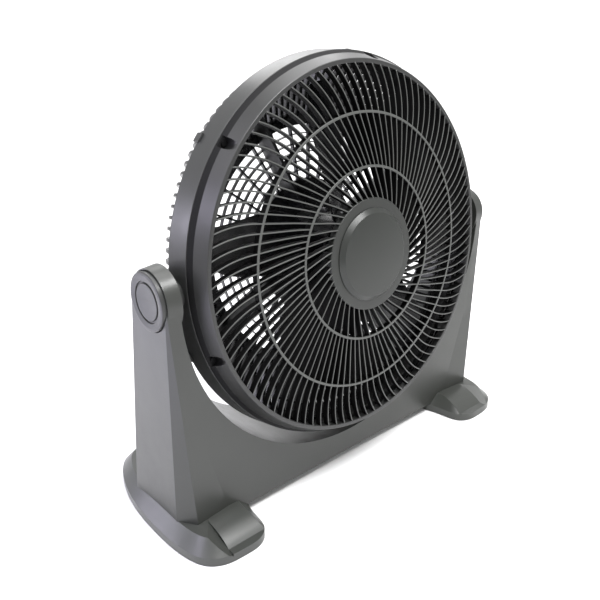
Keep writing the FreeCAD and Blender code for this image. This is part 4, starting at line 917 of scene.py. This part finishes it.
def make_pivot_frames(section):
    """Frames round the pivot bosses: the ribs' section carried along an arc on the wall."""
    turn = np.linspace(*FRAME_ENDS, FRAME_STEPS)[:, None]
    away = section[:, 0] + PIVOT_FRAME
    reach = -away * np.sin(turn)
    radius = side_wall(reach) + section[:, 1]
    faces, ends = bar_faces(1, FRAME_STEPS, len(section))
    for side, label in SIDES:
        angle = away * np.cos(turn) / radius + (0 if side > 0 else math.pi)
        new_piece(label + "_pivot_frame", on_head(radius, angle, reach), faces, guard_finish, "head",
                  ends=ends)


def make_rear_edges():
    """Ring at the drum's back with the collar that enters the drum, and the lip of the flat back."""
    ring_inner, ring_outer = SIDE_RING
    collar_inner, collar_outer = COLLAR
    collar_back = DRUM_REAR - 0.1
    ring = rounded([
        (collar_outer, DRUM_REAR, 0.3), (ring_outer, DRUM_REAR, 0.6), (ring_outer, SIDE_RING_BACK, 0.8),
        (ring_inner, SIDE_RING_BACK, 0.8), (ring_inner, collar_back, 0.6),
        (collar_inner, collar_back, 0.3), (collar_inner, COLLAR_FRONT, 0.5),
        (collar_outer, COLLAR_FRONT, 0.5)])
    lathe("rear_side_ring", ring, guard_finish, steps=240)
    lip = rounded([
        (LIP_OUTER, LIP_FRONT, 0.8), (LIP_OUTER, LIP_BACK, 1.2), (LIP_INNER, LIP_BACK, 0.5),
        (LIP_INNER, DISC_BACK, 0.2), (LIP_SEAT, DISC_BACK, 0.6), (LIP_SEAT, DISC_FRONT, 0.6),
        (LIP_INNER, DISC_FRONT, 0.2), (LIP_INNER, LIP_FRONT, 0.5)])
    lathe("rear_back_lip", lip, guard_finish, steps=240)


def make_rear_rings():
    """Rings of the flat back: rounded bars at an even pitch from the motor plate to the lip."""
    count = int((DISC_RADIUS - MOTOR_PLATE) // RING_PITCH)
    outer = MOTOR_PLATE + RING_PITCH * np.arange(1, count)
    inner = outer - RING_PITCH + RING_GAP
    rings = np.array([
        rounded([(far, DISC_FRONT, 0.5), (far, DISC_BACK, 0.5), (near, DISC_BACK, 0.5),
                 (near, DISC_FRONT, 0.5)], 2) for near, far in zip(inner, outer)])
    cols = rings.shape[1]
    points = on_head(rings[:, None, :, 0], around(REAR_RING_STEPS)[:, None], rings[:, None, :, 1])
    first = np.arange(len(rings)) * REAR_RING_STEPS * cols
    faces = grid_faces(REAR_RING_STEPS, cols, True, True) + first[:, None, None]
    new_piece("rear_rings", points, faces.reshape(-1, 4), guard_finish, "head")


def make_spokes():
    """Spokes of the flat back, from the motor plate to the lip."""
    thick = (DISC_FRONT - DISC_BACK) / 2 - SPOKE_INSET
    path = np.linspace(MOTOR_PLATE - 1, DISC_RADIUS - 3, 8)
    level = np.full(len(path), (DISC_FRONT + DISC_BACK) / 2)
    points, faces, ends = bars(rounded_box(SPOKE_WIDTH / 2, thick, 0.6, 2), path, level,
                               FULL_TURN / SPOKES * np.arange(SPOKES))
    new_piece("rear_spokes", points, faces, guard_finish, "head", ends=ends)


def make_webs():
    """Deep radial walls of the rear grille: a rounded section whose front stays level while its back
    follows the flat back, and beyond the lip the sloping corner."""
    section = rounded_box(WEB_WIDTH / 2, WEB_HALF, 0.9, 3)
    radius = np.linspace(WEB_START, WEB_END, 40)
    corner_radius, corner_reach = WEB_CORNER
    back = np.maximum(BACK_MIDDLE, corner_reach + (radius - corner_radius) / WEB_SLOPE)
    back = np.where(radius < LIP_RADIUS, BACK_MIDDLE, back)
    middle = np.where(section[:, 1] > 0, WEB_FRONT - WEB_HALF, back[:, None] + WEB_HALF)
    angle = WEB_ANGLES[:, None, None] + section[:, 0] / radius[:, None]
    points = on_head(radius[:, None], angle, middle + section[:, 1])
    faces, ends = bar_faces(len(WEB_ANGLES), len(radius), len(section))
    new_piece("rear_webs", points, faces, black_finish, "head", ends=ends)


def make_rear_grille():
    """Rear grille: ribs, a frame round each pivot boss, edges, rings, spokes, webs and motor plate."""
    section = rounded_box(SIDE_RIB_WIDTH / 2, SIDE_WALL / 2, 0.7, 2)
    make_side_ribs(section)
    make_pivot_frames(section)
    make_rear_edges()
    make_rear_rings()
    make_spokes()
    make_webs()
    plate = rounded([(MOTOR_BORE, DISC_FRONT, 0.6), (MOTOR_PLATE, DISC_FRONT, 0.8),
                     (MOTOR_PLATE, DISC_BACK, 0.8), (MOTOR_BORE, DISC_BACK, 0.6)])
    lathe("motor_plate", plate, guard_finish, steps=120)


# Fan wheel

def make_fan_wheel():
    """Fan wheel: a turned hub cup, and blades drawn through thin sections from the hub to the tip.
    Chord, pitch and lead are smooth curves through five stations, and each section is hollow to the
    front."""
    floor = HUB_FRONT - HUB_FLOOR
    hub = rounded([
        (HUB_BORE, HUB_FRONT, 0.3), (HUB_RADIUS, HUB_FRONT, 4.0), (HUB_RADIUS, HUB_REAR, 0.8),
        (HUB_INNER, HUB_REAR, 0.5), (HUB_INNER, floor, 1.0), (HUB_CORE, floor, 1.0),
        (HUB_CORE, HUB_REAR, 0.6), (HUB_BORE, HUB_REAR, 0.3)])
    lathe("fan_hub", hub, blade_finish, ("fan_wheel",), steps=120, body="rotor")
    stations = np.linspace(0, 1, len(BLADE_CHORDS))
    curves = [np.polyfit(stations, values, len(stations) - 1)
              for values in (BLADE_CHORDS, BLADE_PITCHES, BLADE_LEADS)]
    turn = around(BLADE_POINTS)
    along = 0.5 * np.cos(turn)
    swell = np.sign(np.sin(turn)) * np.abs(np.sin(turn)) ** BLADE_FULLNESS

    def section(x):
        share = (x - BLADE_ROOT) / (BLADE_FAR - BLADE_ROOT)
        chord, pitch, lead = (np.polyval(curve, share) for curve in curves)
        pitch = np.radians(pitch)
        thickness = ROOT_THICKNESS - THICKNESS_LOSS * share
        off = swell * thickness / 2 - BLADE_CAMBER * chord * (1 - 4 * along ** 2)
        up = lead + np.cos(pitch) * along * chord - np.sin(pitch) * off
        middle = (HUB_REAR + HUB_FRONT) / 2
        return up, middle + np.sin(pitch) * along * chord + np.cos(pitch) * off

    start = np.full(BLADE_POINTS, HUB_RADIUS - 8)
    end = np.full(BLADE_POINTS, TIP_RADIUS)
    for _ in range(FIT_ROUNDS):
        start = np.sqrt((HUB_RADIUS - ROOT_OVERLAP) ** 2 - section(start)[0] ** 2)
        end = np.sqrt((TIP_RADIUS - TIP_MARGIN) ** 2 - section(end)[0] ** 2)
    x = start + (end - start) * np.linspace(0, 1, BLADE_STEPS)[:, None]
    up, reach = section(x)
    radius = np.hypot(x, up)
    reach = np.where(radius < ROOT_SPACE, np.maximum(reach, HUB_REAR), reach)
    turns = BLADE_PHASE + FULL_TURN / BLADES * np.arange(BLADES)
    points = on_head(radius, np.arctan2(up, x) + turns[:, None, None], reach)
    faces, ends = bar_faces(BLADES, BLADE_STEPS, BLADE_POINTS)
    new_piece("fan_blades", points, faces, blade_finish, "rotor", ends=ends)


make_front_grille()
make_cap()
make_rear_grille()
make_fan_wheel()
make_drum()
make_side_knobs()
softened("yoke_shell", "stand_yoke", 1.4, stand_finish, "stand")
softened("right_foot_shell", "right_foot", 1.8, foot_finish, "stand")
softened("left_foot_shell", "left_foot", 1.8, foot_finish, "stand")
softened("right_cover_shell", "right_rear_cover", 0.7, stand_finish, "stand")
softened("panel_cover_shell", "panel_rear_cover", 0.7, stand_finish, "stand")
softened("left_cover_shell", "left_rear_cover", 0.7, stand_finish, "stand")
softened("motor_cover_shell", "rear_motor_cover", 0.8, black_finish, "head")
softened("speed_knob_shell", "speed_knob", 0.8, drum_finish, "speed_dial")
softened("gland_shell", "cord_gland", 0.6, black_finish, "head")


# Stage

def make_floor():
    """Plain pale floor that rises behind the fan in a wide curve: a strip square to the view is carried
    along a level line, a quarter circle and an upright line."""
    bend = np.linspace(0, math.pi / 2, 25)
    away = np.concatenate([
        [-FLOOR_REACH], BEND_START + BEND_RADIUS * np.sin(bend), [BEND_START + BEND_RADIUS]])
    rise = np.concatenate([[0.0], BEND_RADIUS - BEND_RADIUS * np.cos(bend), [FLOOR_HEIGHT]])
    side = np.array([-FLOOR_REACH, FLOOR_REACH])
    points = np.stack([
        away[:, None] * VIEW_AHEAD[0] + side * VIEW_AHEAD[1],
        away[:, None] * VIEW_AHEAD[1] - side * VIEW_AHEAD[0],
        rise[:, None] + 0 * side], -1)
    mesh = bpy.data.meshes.new("floor")
    faces = grid_faces(len(away), len(side), False, False)
    mesh.from_pydata(points.reshape(-1, 3).tolist(), [], faces.tolist())
    material = bpy.data.materials.new("pale_floor")
    material.use_nodes = True
    shader = material.node_tree.nodes["Principled BSDF"]
    shader.inputs["Base Color"].default_value = FLOOR_COLOUR
    shader.inputs["Roughness"].default_value = FLOOR_ROUGHNESS
    shader.inputs["Specular IOR Level"].default_value = FLOOR_SPECULAR
    floor = add_smooth("floor", mesh, material)


def make_world():
    """White surroundings."""
    world = bpy.data.worlds.new("studio")
    bpy.context.scene.world = world
    world.use_nodes = True
    back = world.node_tree.nodes["Background"]
    back.inputs["Color"].default_value = (*WHITE, 1.0)
    back.inputs["Strength"].default_value = WORLD_STRENGTH


def aim(item, place, target):
    """Object put in the scene at a place, looking at a target."""
    item.location = place
    item.rotation_euler = (Vector(target) - Vector(place)).to_track_quat("-Z", "Y").to_euler()
    bpy.context.scene.collection.objects.link(item)


def add_light(name, place, target, size, power, colour):
    """Softbox: an area light that looks at a target."""
    data = bpy.data.lights.new(name, "AREA")
    data.shape = "RECTANGLE"
    data.size, data.size_y = size
    data.energy = power
    data.color = colour
    aim(bpy.data.objects.new(name, data), place, target)


def make_camera():
    """Camera where the photo's ellipses place it."""
    data = bpy.data.cameras.new("camera")
    data.sensor_width = SENSOR_WIDTH
    data.lens = LENS
    data.clip_start = CLIP_START
    camera = bpy.data.objects.new("camera", data)
    aim(camera, (PIVOT + CAMERA_OFFSET) * MM, (PIVOT + TARGET_OFFSET) * MM)
    bpy.context.scene.camera = camera


make_floor()
make_world()
for light in LIGHTS:
    add_light(*light)
make_camera()
bpy.context.scene.view_settings.view_transform = "Standard"
